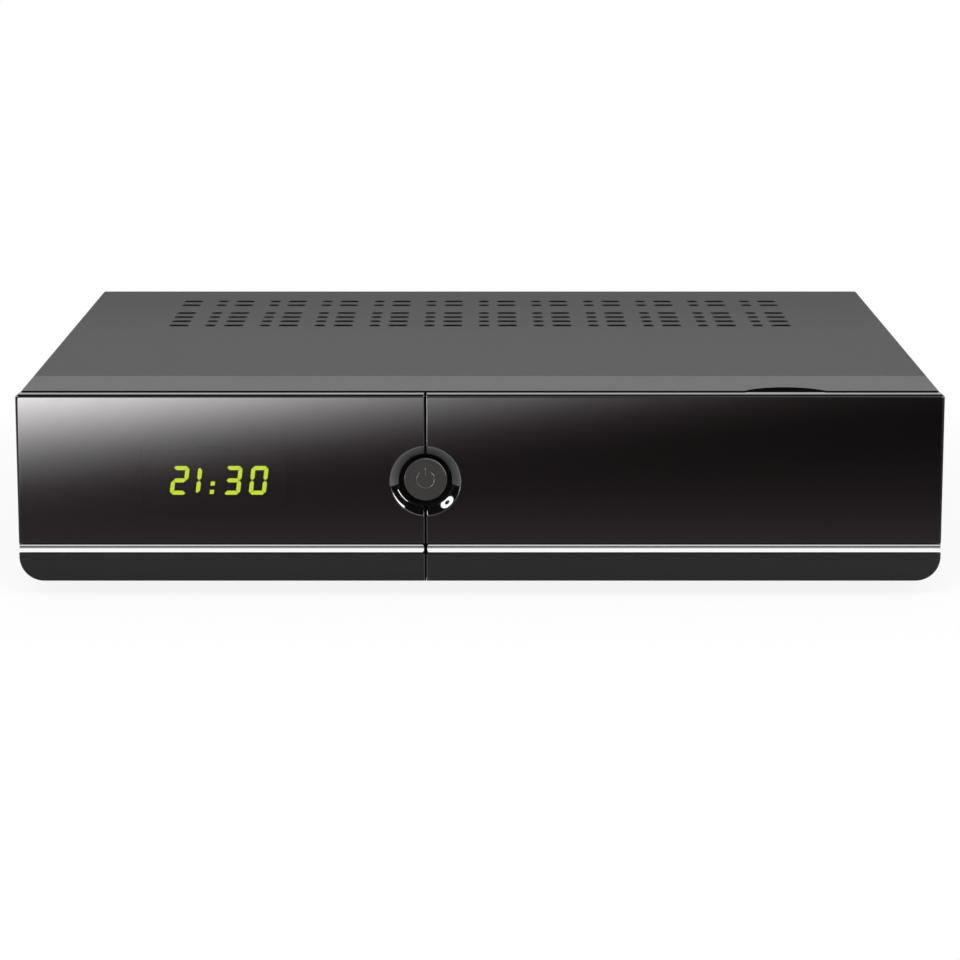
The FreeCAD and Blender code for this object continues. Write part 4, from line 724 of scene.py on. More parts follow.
# %% [markdown]
# The solid's cone is straight, while the moulded one swells a little between mouth and throat, which is
# why bright patches come out curved in it. A thin skin with that swelling lies on each half of the cone.
# It is swept as a closed section round the axis, in fine steps, and each half rides with its own section
# of the front. Bending the solid's own faces would be simpler, but a solid is never changed here.

# %% Pieces made from a bmesh


def place_piece(name, shape, material, body):
    """Turn a bmesh in metres into a smooth piece that rides on a body."""
    bmesh.ops.remove_doubles(shape, verts=shape.verts, dist=1e-7)
    bmesh.ops.recalc_face_normals(shape, faces=shape.faces)
    mesh = bpy.data.meshes.new(name)
    shape.to_mesh(mesh)
    shape.free()
    for polygon in mesh.polygons:
        polygon.use_smooth = True
    mesh.materials.append(material)
    piece = bpy.data.objects.new(name, mesh)
    bpy.context.scene.collection.objects.link(piece)
    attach(piece, body)
    print(name, "made,", len(mesh.polygons), "faces")


def sweep(name, rings, material, body):
    """Join equal rings of points in mm one after another, and cap both ends."""
    shape = bmesh.new()
    loops = [[shape.verts.new(Vector(point) * MM) for point in ring] for ring in rings]
    for one, other in zip(loops, loops[1:]):
        for side in range(len(one)):
            follow = (side + 1) % len(one)
            shape.faces.new((one[side], one[follow], other[follow], other[side]))
    shape.faces.new(loops[0])
    shape.faces.new(loops[-1])
    place_piece(name, shape, material, body)


print("pieces are swept from rings")

# %% Skin of the dish
SKIN_DEPTH, SKIN_INSET, SKIN_START, SKIN_BEHIND = 2.4, 0.02, 0.03, 0.15
SWELL, SKIN_LIFT = 0.13, 0.02
SKIN_STEPS = 90
SEAM_TURN = 2.4


def round_button(radius, turn, depth):
    """A point round the button's axis. The turn runs clockwise from the top, in degrees."""
    turn = math.radians(turn)
    return (seam_x / MM + radius * math.sin(turn), front_plane / MM + depth,
            button_z / MM + radius * math.cos(turn))


def dish_section(steps=8):
    """Radius and depth pairs: along the swollen face from mouth to throat, and back along the cone."""
    fall = Vector((DISH_THROAT - DISH_MOUTH, SKIN_DEPTH))
    outward = Vector((-fall.y, fall.x)).normalized()
    start = Vector((DISH_MOUTH - SKIN_INSET, SKIN_START))
    face = []
    for step in range(steps + 1):
        share = step / steps
        lift = SKIN_LIFT + SWELL * 4 * share * (1 - share)
        face.append(start + share * fall + lift * outward)
    return face + [Vector((DISH_THROAT + SKIN_BEHIND, DISH_DEPTH)),
                   Vector((DISH_MOUTH + SKIN_BEHIND, SKIN_BEHIND))]


HALVES = (("left", "case", -1), ("right", "flap", 1))
section = dish_section()
for half, body, way in HALVES:
    turns = [way * (SEAM_TURN + (180 - 2 * SEAM_TURN) * step / SKIN_STEPS) for step in range(SKIN_STEPS + 1)]
    rings = [[round_button(radius, turn, depth) for radius, depth in section] for turn in turns]
    sweep(f"dish_skin_{half}", rings, dish, body)

# %% [markdown]
# A fine rounded lip runs along the upper mouth of the dish and catches light as a hairline. A bevel on the
# solid could make it, but it is far thinner than the solid's other forms, so it is a thin bead bent along
# an arc, one for each half.

# %% A bead bent along a path
BEAD_SIDES = 8
LIP_RADIUS, LIP_INSIDE, LIP_DEPTH = 0.12, 0.05, 0.14
LIP_FROM, LIP_TO = 3.2, 98


def bead(name, path, radius, material, body):
    """A round bead along a list of points in mm."""
    rings = []
    turns = [2 * math.pi * side / BEAD_SIDES for side in range(BEAD_SIDES)]
    for index, point in enumerate(path):
        before = path[max(index - 1, 0)]
        after = path[min(index + 1, len(path) - 1)]
        along = (Vector(after) - Vector(before)).normalized()
        first = along.cross(Vector((0, 1, 0))).normalized()
        second = along.cross(first)
        rings.append([Vector(point) + radius * (math.cos(t) * first + math.sin(t) * second) for t in turns])
    sweep(name, rings, material, body)


def arc(radius, start, end, depth, steps=40):
    """Points round the button's axis, from one turn to another."""
    return [round_button(radius, start + (end - start) * step / steps, depth) for step in range(steps + 1)]


lip_black = satin_plastic("lip_black", 0.03, roughness=0.12, shine=0.8)
for half, body, way in HALVES:
    upper_mouth = arc(DISH_MOUTH - LIP_INSIDE, LIP_FROM * way, LIP_TO * way, LIP_DEPTH)
    bead(f"dish_lip_{half}", upper_mouth, LIP_RADIUS, lip_black, body)

# %% [markdown]
# The seam's own edges are rounded too, and so is the edge of the button's cap. They are part of the solids
# already, so only their faces get a glossier finish, picked by place and lean.

# %% Glossy edges of the seam and of the cap
SEAM_EDGE_REACH, SEAM_EDGE_DEPTH, CAP_EDGE_DEPTH = 0.62, 0.3, 0.65
LEAST_LEAN, NEARLY_FLAT = 0.1, 0.97
cap_plane = low_corner("power_button")[1] / MM


def is_seam_edge(middle, normal):
    """True on the small rounds along the seam."""
    near = abs(middle.x - seam_x / MM) < SEAM_EDGE_REACH and middle.y < front_plane / MM + SEAM_EDGE_DEPTH
    return near and abs(normal.x) > LEAST_LEAN and normal.y < -LEAST_LEAN


def is_cap_edge(middle, normal):
    """True on the round between the cap's face and its side."""
    return middle.y < cap_plane + CAP_EDGE_DEPTH and -NEARLY_FLAT < normal.y < -LEAST_LEAN


for name in ("left_fascia", "flap_panel", "left_lower_trim", "flap_lower_trim"):
    print(name, "seam edge faces:", paint_some(lip_black, name, is_seam_edge))
cap_gloss = satin_plastic("cap_gloss", 0.021, roughness=0.14, warmth=0.03, shine=0.9)
print("cap edge faces:", paint_some(cap_gloss, "power_button", is_cap_edge))

# %% [markdown]
# Nobody sees daylight through the foot of a real seam: a thin tongue on the fixed side stands in the gap
# behind the trims and leaves the flap free to turn. It is in the painted shade black, a dark piece that
# stands for the shade deep in the gap. A plain box would fill the gap as well, but its sharp edges would
# catch light in the dark, so its edges are cut off all round.

# %% Tongue in the seam
TONGUE_LEFT, TONGUE_RIGHT, TONGUE_NEAR, TONGUE_FAR = -0.36, 0.20, 0.7, 4.2
TONGUE_ABOVE_FOOT, TONGUE_BELOW_TOP, TONGUE_CHAMFER = 0.05, 0.3, 0.02


def chamfered_bar(name, low, high, chamfer, material, body):
    """A bar between two corners in mm whose edges are chamfered all round."""
    rings = []
    heights = (low[2], low[2] + chamfer, high[2] - chamfer, high[2])
    for height, inset in zip(heights, (chamfer, 0, 0, chamfer)):
        left, near = low[0] + inset, low[1] + inset
        right, far = high[0] - inset, high[1] - inset
        rings.append([(left + chamfer, near, height), (right - chamfer, near, height),
                      (right, near + chamfer, height), (right, far - chamfer, height),
                      (right - chamfer, far, height), (left + chamfer, far, height),
                      (left, far - chamfer, height), (left, near + chamfer, height)])
    sweep(name, rings, material, body)


trim_low, trim_high = (corner[2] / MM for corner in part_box("left_lower_trim"))
tongue_low = (seam_x / MM + TONGUE_LEFT, front_plane / MM + TONGUE_NEAR, trim_low + TONGUE_ABOVE_FOOT)
tongue_high = (seam_x / MM + TONGUE_RIGHT, front_plane / MM + TONGUE_FAR, trim_high - TONGUE_BELOW_TOP)
chamfered_bar("seam_tongue", tongue_low, tongue_high, TONGUE_CHAMFER, painted_shade_black, "case")
print("tongue from", round(tongue_low[2], 2), "to", round(tongue_high[2], 2), "mm")

# %% [markdown]
# The button's cap carries the usual sign of a switch: a ring broken at its top by an upright stroke. It is
# moulded a fraction of a millimetre proud. Two thin half-sunk beads give it rounded edges, so light
# picks out its outline, and their grey is a shade lighter than the cap's as a painted highlight. A bump in
# the finish would vanish from the side.

# %% Sign on the button
SIGN_RADIUS, SIGN_WIRE, SIGN_SUNK = 2.7, 0.17, 0.02
SIGN_BREAK = 38
STROKE_HEIGHTS = (0.4, 1.5, 2.6, 3.8)
sign_highlight_grey = satin_plastic("sign_highlight_grey", 0.034, roughness=0.16, warmth=0.03, shine=0.8)
sign_depth = cap_plane - front_plane / MM + SIGN_SUNK
ring = arc(SIGN_RADIUS, SIGN_BREAK, 360 - SIGN_BREAK, sign_depth)
stroke = [(seam_x / MM, cap_plane + SIGN_SUNK, button_z / MM + height) for height in STROKE_HEIGHTS]
bead("power_ring", ring, SIGN_WIRE, sign_highlight_grey, "power_button")
bead("power_stroke", stroke, SIGN_WIRE, sign_highlight_grey, "power_button")
print("cap face at", round(cap_plane, 2), "mm")

# %% [markdown]
# ## What repeats
#
# Threads, contact blades and screw heads are one small form set down many times. In a factory they come
# from a rolling die, a stamping strip and a header, each of which repeats one shape exactly. Geometry
# Nodes do the same here: the tree holds the one shape with its sizes as inputs, and a cloud of points
# says where it goes. The result is turned into a plain mesh at once, so it rides like any other piece.

# %% Geometry trees that repeat one shape


class Shaping:
    """A geometry tree with named sizes. It sets one shape down on every point."""

    def __init__(self, name, sizes):
        self.tree = bpy.data.node_groups.new(name, "GeometryNodeTree")
        self.tree.interface.new_socket("Geometry", in_out="INPUT", socket_type="NodeSocketGeometry")
        self.tree.interface.new_socket("Geometry", in_out="OUTPUT", socket_type="NodeSocketGeometry")
        for size in sizes:
            self.tree.interface.new_socket(size, in_out="INPUT", socket_type="NodeSocketFloat")
        self.given = self.tree.nodes.new("NodeGroupInput")

    def size(self, name):
        return self.given.outputs[name]

    def share(self, name, factor):
        """A size times a plain number."""
        return self.node("ShaderNodeMath", {"operation": "MULTIPLY"}, {0: self.size(name), 1: factor})

    def node(self, kind, settings=None, sockets=None):
        """Make any node, as a finish does, and give back its first socket."""
        made = self.tree.nodes.new(kind)
        for name, setting in (settings or {}).items():
            setattr(made, name, setting)
        for name, value in (sockets or {}).items():
            if isinstance(value, bpy.types.NodeSocket):
                self.tree.links.new(value, made.inputs[name])
            else:
                made.inputs[name].default_value = value
        return made.outputs[0]

    def vector(self, across=0.0, along=0.0, up=0.0):
        return self.node("ShaderNodeCombineXYZ", {}, {0: across, 1: along, 2: up})

    def repeat(self, shape, material):
        """Instance on the points, turned by their lean, then made real and given its finish."""
        lean = self.node("GeometryNodeInputNamedAttribute", {"data_type": "FLOAT_VECTOR"}, {"Name": "lean"})
        turned = self.node("FunctionNodeEulerToRotation", {}, {0: lean})
        on_points = self.node("GeometryNodeInstanceOnPoints", {},
                              {"Points": self.size("Geometry"), "Instance": shape, "Rotation": turned})
        real = self.node("GeometryNodeRealizeInstances", {}, {0: on_points})
        finished = self.node("GeometryNodeSetMaterial", {}, {"Geometry": real, "Material": material})
        output = self.tree.nodes.new("NodeGroupOutput")
        self.tree.links.new(finished, output.inputs[0])
        return self


print("a tree sets one shape down on every point")

# %% Running a tree and keeping its mesh
UPRIGHT, OVERTURNED = (0, 0, 0), (0, math.pi, 0)


def set_down(name, shaping, sizes, places, leans=None, smooth=False):
    """Run a tree over places in mm and keep the result as a plain piece of the case. Sizes are in mm."""
    cloud = bpy.data.meshes.new(name)
    cloud.from_pydata([Vector(place) * MM for place in places], [], [])
    lean = cloud.attributes.new("lean", "FLOAT_VECTOR", "POINT")
    for index in range(len(places)):
        lean.data[index].vector = leans[index] if leans else UPRIGHT
    piece = bpy.data.objects.new(name, cloud)
    bpy.context.scene.collection.objects.link(piece)
    modifier = piece.modifiers.new("shaping", "NODES")
    modifier.node_group = shaping.tree
    for socket in shaping.tree.interface.items_tree:
        if socket.in_out == "INPUT" and socket.name in sizes:
            modifier[socket.identifier] = sizes[socket.name] * MM
    made = bpy.data.meshes.new_from_object(piece.evaluated_get(bpy.context.evaluated_depsgraph_get()))
    piece.modifiers.remove(modifier)
    piece.data = made
    material = made.materials[-1]
    made.materials.clear()
    made.materials.append(material)
    for polygon in made.polygons:
        polygon.use_smooth = smooth
        polygon.material_index = 0
    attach(piece, "case")
    print(name, "set down", len(places), "times,", len(made.polygons), "faces")
    return piece


print("everything set down by a tree rides on the case")

# %% [markdown]
# An aerial socket carries a fine rolled thread for the cable's nut. A rolled thread has rounded crests,
# so each turn can be a thin ring round the barrel; at this pitch nobody sees that rings are not a helix.

# %% Thread crests of the aerial sockets
THREAD_PITCH = 0.79
THREAD_START, THREAD_END = 3.0, 0.9


def thread_ring():
    shaping = Shaping("thread_ring", ["Crest Radius", "Wire Radius"])
    path = shaping.node("GeometryNodeCurvePrimitiveCircle", {},
                        {"Resolution": 48, "Radius": shaping.size("Crest Radius")})
    wire = shaping.node("GeometryNodeCurvePrimitiveCircle", {},
                        {"Resolution": 6, "Radius": shaping.size("Wire Radius")})
    ring = shaping.node("GeometryNodeCurveToMesh", {}, {"Curve": path, "Profile Curve": wire})
    upright = shaping.node("GeometryNodeTransform", {}, {"Geometry": ring, "Rotation": (math.pi / 2, 0, 0)})
    return shaping.repeat(upright, nickel)


crests = []
for name in ("aerial_input_socket", "aerial_loop_socket"):
    centre = middle_of(name) / MM
    first, last = rear_plane / MM + THREAD_START, high_corner(name)[1] / MM - THREAD_END
    count = int((last - first) / THREAD_PITCH) + 1
    crests += [(centre.x, first + THREAD_PITCH * turn, centre.z) for turn in range(count)]
set_down("aerial_threads", thread_ring(), {"Crest Radius": 4.72, "Wire Radius": 0.24}, crests,
         smooth=True)

# %% [markdown]
# Each signal socket holds a row of stamped contacts. A contact is a strip of plated bronze, bent near its
# tip so that it presses on the plug. The tree bends one strip and repeats it at the pitch of its socket.
# The blades of a facing row, or of a row under a socket's roof, are the same strip turned over.

# %% One contact blade, and places in a row


def contact_blade():
    shaping = Shaping("contact_blade", ["Blade Length", "Blade Width", "Blade Thickness", "Spring"])
    middle = shaping.vector(0.0, shaping.share("Blade Length", -0.6), shaping.size("Spring"))
    end = shaping.vector(0.0, shaping.share("Blade Length", -1.0))
    path = shaping.node("GeometryNodeCurveQuadraticBezier", {},
                        {"Resolution": 6, "Start": (0, 0, 0), "Middle": middle, "End": end})
    strip = shaping.node("GeometryNodeCurvePrimitiveQuadrilateral", {},
                         {"Width": shaping.size("Blade Width"), "Height": shaping.size("Blade Thickness")})
    blade = shaping.node("GeometryNodeCurveToMesh", {},
                         {"Curve": path, "Profile Curve": strip, "Fill Caps": True})
    return shaping.repeat(blade, nickel)


def along_row(centre_x, y, z, count, pitch):
    """Places side by side across the receiver, the same both ways from the middle."""
    return [(centre_x + pitch * (index - (count - 1) / 2), y, z) for index in range(count)]


def blade_sizes(length, width, thickness, spring):
    return {"Blade Length": length, "Blade Width": width, "Blade Thickness": thickness, "Spring": spring}


blade = contact_blade()
print("one blade bent")

# %% Contact blades of three sockets
SCART_ROW, SCART_PITCH, SCART_OFFSET, SCART_INSIDE = 10, 3.3, 3.05, 3.0
NETWORK_ROW, NETWORK_PITCH, NETWORK_UP, NETWORK_INSIDE = 8, 1.02, 4.9, 2.2
USB_ROW, USB_PITCH, USB_UP, USB_INSIDE = 4, 2.3, 0.55, 8.5

scart, mouth = middle_of("scart_socket") / MM, high_corner("scart_socket")[1] / MM - SCART_INSIDE
upper_row = along_row(scart.x, mouth, scart.z + SCART_OFFSET, SCART_ROW, SCART_PITCH)
lower_row = along_row(scart.x, mouth, scart.z - SCART_OFFSET, SCART_ROW, SCART_PITCH)
set_down("scart_blades", blade, blade_sizes(length=5.8, width=1.7, thickness=0.4, spring=2.2),
         upper_row + lower_row, leans=[UPRIGHT] * SCART_ROW + [OVERTURNED] * SCART_ROW)
jack, mouth = middle_of("network_socket") / MM, high_corner("network_socket")[1] / MM - NETWORK_INSIDE
jack_row = along_row(jack.x, mouth, jack.z + NETWORK_UP, NETWORK_ROW, NETWORK_PITCH)
set_down("network_blades", blade, blade_sizes(length=9.5, width=0.45, thickness=0.3, spring=5.5),
         jack_row, leans=[OVERTURNED] * NETWORK_ROW)
usb, mouth = middle_of("front_usb_socket") / MM, low_corner("front_usb_socket")[1] / MM + USB_INSIDE
usb_row = along_row(usb.x, mouth, usb.z + USB_UP, USB_ROW, USB_PITCH)
set_down("usb_blades", blade, blade_sizes(length=7.0, width=1.0, thickness=0.2, spring=0.5),
         usb_row, leans=[OVERTURNED] * USB_ROW)

# %% [markdown]
# The case screws have low pan heads with a cross recess. A header strikes the head and a punch sinks the
# cross, and the tree does it in the same order: a blunt cone, and two crossed bars taken out of its top.
# The plain screws of the solid model make room for these, each at the same seat and the same size.

# %% Screw heads with a cross recess
SCREW_SIZES = {"Head Radius": 3.0, "Head Height": 0.7, "Shank Radius": 1.5, "Shank Length": 2.6,
               "Recess": 0.8}
CROWN_SHARE = 0.82


def pan_head_screw():
    shaping = Shaping("pan_head_screw", SCREW_SIZES)
    reach, narrow, height = (shaping.size(name) for name in ("Head Radius", "Recess", "Head Height"))
    screw = shaping.node("GeometryNodeMeshCone", {}, {
        "Vertices": 40, "Radius Top": shaping.share("Head Radius", CROWN_SHARE), "Radius Bottom": reach,
        "Depth": height})
    lift = shaping.vector(0.0, 0.0, height)
    for size in (shaping.vector(reach, narrow, narrow), shaping.vector(narrow, reach, narrow)):
        bar = shaping.node("GeometryNodeMeshCube", {}, {"Size": size})
        bar = shaping.node("GeometryNodeTransform", {}, {"Geometry": bar, "Translation": lift})
        screw = shaping.node("GeometryNodeMeshBoolean", {"operation": "DIFFERENCE"},
                             {"Mesh 1": screw, "Mesh 2": bar})
    shank = shaping.node("GeometryNodeMeshCylinder", {}, {
        "Vertices": 20, "Radius": shaping.size("Shank Radius"), "Depth": shaping.size("Shank Length")})
    fall = shaping.vector(0.0, 0.0, shaping.share("Shank Length", -0.5))
    shank = shaping.node("GeometryNodeTransform", {}, {"Geometry": shank, "Translation": fall})
    both = shaping.tree.nodes.new("GeometryNodeJoinGeometry")
    for part in (screw, shank):
        shaping.tree.links.new(part, both.inputs[0])
    return shaping.repeat(both.outputs[0], black_screw)


screw_tree = pan_head_screw()
print("nodes in the screw's tree:", len(screw_tree.tree.nodes))

# %% Seats of the case screws
SIDE_SCREWS_BEYOND = 130


def screw_seats():
    """Where each screw's head sits in mm, and which way it faces."""
    mesh = nodes["case_screws"].data
    head = SCREW_SIZES["Head Height"]
    seats, leans = [], []
    for group in islands(mesh):
        corners = [mesh.vertices[index].co / MM for polygon in group for index in polygon.vertices]
        low = Vector(min(corner[axis] for corner in corners) for axis in range(3))
        high = Vector(max(corner[axis] for corner in corners) for axis in range(3))
        centre = (low + high) / 2
        if abs(centre.x) > SIDE_SCREWS_BEYOND:
            side = math.copysign(1, centre.x)
            seats.append((side * (max(abs(low.x), abs(high.x)) - head), centre.y, centre.z))
            leans.append((0, side * math.pi / 2, 0))
        else:
            seats.append((centre.x, centre.y, low.z + head))
            leans.append((math.pi, 0, 0))
    return seats, leans


seats, leans = screw_seats()
screws = set_down("case_screw_heads", screw_tree, SCREW_SIZES, seats, leans=leans)
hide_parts("case_screws")

# %% [markdown]
# ## Colours and marks that people use
#
# The rear sockets are told apart by colour: yellow for video, white and red for sound, orange for
# digital sound. The colour is that of the plastic collar, while the barrel is plated. Both are faces of
# one solid, so the faces are told apart by their distance from the socket's axis.

# %% Phono collars and barrels
BARREL_REACH, COLLAR_REACH, BEHIND_PANEL = 4.3, 5.6, 0.1
COLLARS = {"phono_video_socket": (0.75, 0.45, 0.015, 1.0), "phono_left_socket": (0.70, 0.70, 0.68, 1.0),
           "phono_right_socket": (0.45, 0.012, 0.012, 1.0), "phono_digital_socket": (0.68, 0.14, 0.008, 1.0)}


def ring_round(centre, inner, outer):
    """A test for faces that stand behind the panel, between two distances from an axis."""
    def is_on_ring(middle, normal):
        reach = math.hypot(middle.x - centre.x, middle.z - centre.z)
        return inner < reach <= outer and middle.y > rear_plane / MM + BEHIND_PANEL
    return is_on_ring


def collar_plastic(name, colour):
    finish = Finish(name)
    return finish.surface(Base_Color=finish.blend(finish.noise(500), deeper(colour, 0.86), colour),
                          Roughness=0.38, Specular_IOR_Level=0.4)


for name, colour in COLLARS.items():
    centre = middle_of(name) / MM
    plastic = collar_plastic(f"{name}_collar", colour)
    collar_faces = paint_some(plastic, name, ring_round(centre, BARREL_REACH, COLLAR_REACH))
    barrel_faces = paint_some(nickel, name, ring_round(centre, -1, BARREL_REACH))
    print(name, "collar faces:", collar_faces, "barrel faces:", barrel_faces)

# %% [markdown]
# Inside their metal shells the network and USB sockets are black plastic, and the mains inlet has the
# reverse: two bright round pins in a black well. Again one solid carries both, and place tells them apart.

# %% Black insides of two sockets, and the pins of the inlet
DARK_INSIDES = {"front_usb_socket": (6.2, 2.5), "network_socket": (6.1, 6.2)}
OFF_THE_ENDS = 0.1
PIN_ASIDE, PIN_REACH, PIN_LENGTH = 4.3, 1.25, 12.4
inlet_middle, inlet_mouth = middle_of("mains_inlet") / MM, high_corner("mains_inlet")[1] / MM


def is_inside(name, half_width, half_height):
    """A test for faces inside a shell: within its mouth, and a little behind either end."""
    centre, low, high = middle_of(name) / MM, low_corner(name)[1] / MM, high_corner(name)[1] / MM

    def is_inner(middle, normal):
        beside, above = abs(middle.x - centre.x), abs(middle.z - centre.z)
        between_ends = low + OFF_THE_ENDS < middle.y < high - OFF_THE_ENDS
        return beside < half_width and above < half_height and between_ends
    return is_inner


def is_inlet_pin(middle, normal):
    """True on the round pins in the inlet's well."""
    beside, above = abs(middle.x - inlet_middle.x), middle.z - inlet_middle.z
    return math.hypot(beside - PIN_ASIDE, above) < PIN_REACH and middle.y > inlet_mouth - PIN_LENGTH


for name, (half_width, half_height) in DARK_INSIDES.items():
    print(name, "inner faces:", paint_some(moulded_black, name, is_inside(name, half_width, half_height)))
print("inlet pin faces:", paint_some(nickel, "mains_inlet", is_inlet_pin))

# %% [markdown]
# The rocker says which end is on: a bar for on and a ring for off, printed in white. Print has no
# thickness worth modelling, so it is part of the rocker's finish, drawn from the distance to a line and
# to a circle round the two printed places.

# %% Rocker with its printed marks
PRINT_OFFSET, BAR_HALF, RING_RADIUS = 4.4 * MM, 1.6 * MM, 1.45 * MM
BAR_THIN, RING_THIN, PRINT_BLUR = 0.28 * MM, 0.24 * MM, 0.08 * MM


def marked_rocker():
    finish = Finish("rocker_marked")
    across, _, up = finish.axes()
    centre = middle_of("mains_rocker")
    beside, above = across - centre.x, up - centre.z
    from_bar, from_middle = abs(beside), abs(above - PRINT_OFFSET)
    thin = finish.smooth(from_bar, BAR_THIN + PRINT_BLUR, BAR_THIN)
    bar = thin * finish.smooth(from_middle, BAR_HALF + PRINT_BLUR, BAR_HALF)
    below = above + PRINT_OFFSET
    from_ring = abs((beside * beside + below * below) ** 0.5 - RING_RADIUS)
    mark = finish.most([bar, finish.smooth(from_ring, RING_THIN + PRINT_BLUR, RING_THIN)])
    plastic = finish.blend(finish.noise(900), grey(0.010), grey(0.014))
    return finish.surface(Base_Color=finish.blend(mark, plastic, grey(0.72)), Roughness=0.4,
                          Specular_IOR_Level=0.4)


paint(marked_rocker(), "mains_rocker")
print("rocker marked")

# %% [markdown]
# The keys behind the flap carry small raised marks: three bars for the menu, the letters OK, minus and
# plus for the volume, and a triangle each way for the channel. A finger finds them without looking. Each
# mark is a set of round strokes half sunk in its key. A curve with a round bevel draws such strokes, and
# it is turned into a mesh before it rides on its key.

# %% Round strokes


def strokes(name, paths, radius, material, body):
    """Round strokes along lists of points in mm, joined as one piece."""
    curve = bpy.data.curves.new(name, "CURVE")
    curve.dimensions = "3D"
    curve.bevel_depth = radius * MM
    curve.bevel_resolution = 2
    curve.use_fill_caps = True
    for path in paths:
        spline = curve.splines.new("POLY")
        spline.use_cyclic_u = path[0] == path[-1]
        points = path[:-1] if spline.use_cyclic_u else path
        spline.points.add(len(points) - 1)
        for point, place in zip(spline.points, points):
            point.co = (*(MM * part for part in place), 1.0)
    drawn = bpy.data.objects.new(name, curve)
    bpy.context.scene.collection.objects.link(drawn)
    mesh = bpy.data.meshes.new_from_object(drawn.evaluated_get(bpy.context.evaluated_depsgraph_get()))
    bpy.data.objects.remove(drawn)
    shape = bmesh.new()
    shape.from_mesh(mesh)
    place_piece(name, shape, material, body)


def loop(radius, count=28):
    """A closed ring of flat points. The first point comes again at the end."""
    points = [(radius * math.sin(2 * math.pi * turn / count), radius * math.cos(2 * math.pi * turn / count))
              for turn in range(count)]
    return points + points[:1]


def shifted(path, aside):
    return [(across + aside, up) for across, up in path]


print("points in a loop:", len(loop(1.0)))

# %% Raised marks on the keys
TRIANGLE = [(-1.1, -0.7), (1.1, -0.7), (0.0, 0.9), (-1.1, -0.7)]
MARKS = {
    "menu_key": [[(-1.2, height), (1.2, height)] for height in (-0.9, 0.0, 0.9)],
    "ok_key": [shifted(loop(0.95), -1.25), [(0.5, -0.95), (0.5, 0.95)],
               [(1.75, 0.95), (0.55, 0.0), (1.75, -0.95)]],
    "volume_down_key": [[(-1.1, 0.0), (1.1, 0.0)]],
    "volume_up_key": [[(-1.1, 0.0), (1.1, 0.0)], [(0.0, -1.1), (0.0, 1.1)]],
    "channel_down_key": [[(across, -up) for across, up in TRIANGLE]],
    "channel_up_key": [TRIANGLE],
}
MARK_RADIUS, MARK_SUNK = 0.16, 0.03

mark_white = satin_plastic("mark_white", 0.62, roughness=0.45, shine=0.35)
for key, paths in MARKS.items():
    centre, face = middle_of(key) / MM, low_corner(key)[1] / MM + MARK_SUNK
    placed = [[(centre.x + across, face, centre.z + up) for across, up in path] for path in paths]
    strokes(f"{key}_mark", placed, MARK_RADIUS, mark_white, key)
print("keys marked:", len(MARKS))

# %% [markdown]
# ## Floor, light and reflections
#
# The receiver stands on a pale floor that runs on as a white backdrop. The floor is part lit and part
# shining by itself for the camera and for mirrors, so it comes out white yet keeps the soft shadow. A
# floor that is only lit would need so much light that the receiver itself would turn pale.

# %% Floor and backdrop
FLOOR_REACH = 9.0
SHADOW_HALF_WIDTH, SHADOW_HALF_DEPTH, SHADOW_MIDDLE = 0.14, 0.115, -0.006
OWN_LIGHT_NEAR, OWN_LIGHT_FAR = 0.88, 1.0
SHADOW_FADE = (0.01, 0.15)
RECTANGLE = [(0, 1, 2, 3)]


def seen(finish):
    """1 for what the camera, a mirror or glass looks at, and 0 for light that falls on the receiver."""
    rays = finish.node("ShaderNodeLightPath").socket.node.outputs
    looks = ("Is Camera Ray", "Is Glossy Ray", "Is Transmission Ray")
    return finish.most([Level(finish, rays[look]) for look in looks])


def floor_finish():
    """White far away. Near the receiver a part of it is lit, so that the soft shadow shows."""
    finish = Finish("pale_floor")
    across, along, _ = finish.axes()
    beside = finish.most([abs(across) - SHADOW_HALF_WIDTH, 0.0])
    before = finish.most([abs(along - SHADOW_MIDDLE) - SHADOW_HALF_DEPTH, 0.0])
    away = (beside ** 2 + before ** 2) ** 0.5
    own_light = OWN_LIGHT_NEAR + (OWN_LIGHT_FAR - OWN_LIGHT_NEAR) * finish.smooth(away, *SHADOW_FADE)
    lit = finish.node("ShaderNodeBsdfDiffuse", {}, {"Color": grey(0.90)})
    shining = finish.node("ShaderNodeEmission", {}, {"Color": grey(1.0), "Strength": 1.0})
    both = finish.node("ShaderNodeMixShader", {}, {0: own_light * seen(finish), 1: lit, 2: shining})
    finish.node("ShaderNodeOutputMaterial", {}, {"Surface": both})
    return finish.holder


def flat_corners(half_width, near, far, height):
    return [(-half_width, near, height), (half_width, near, height),
            (half_width, far, height), (-half_width, far, height)]


def stage_sheet(name, corners, faces, material):
    """A sheet that stands by the receiver and is no part of it."""
    mesh = bpy.data.meshes.new(name)
    mesh.from_pydata(corners, [], faces)
    mesh.materials.append(material)
    made = bpy.data.objects.new(name, mesh)
    bpy.context.scene.collection.objects.link(made)
    return made


stage_sheet("floor", flat_corners(FLOOR_REACH, -FLOOR_REACH, FLOOR_REACH, 0), RECTANGLE, floor_finish())
print("floor laid")

# %% [markdown]
# The room is white to the camera and in mirrors, and a soft grey as light. Two large lamps above give an
# even light with one soft shadow. Small lamps would draw hard shadows.

# %% World light


def white_world(around):
    """White to look at, and of strength around as light on the receiver."""
    room = Finish("white_room", bpy.data.worlds)
    bpy.context.scene.world = room.holder
    strength = around + (1.0 - around) * seen(room)
    background = room.node("ShaderNodeBackground", {}, {"Color": grey(1.0), "Strength": strength})
    room.node("ShaderNodeOutputWorld", {}, {"Surface": background})


white_world(around=0.55)
print("white room around")

# %% Lamps


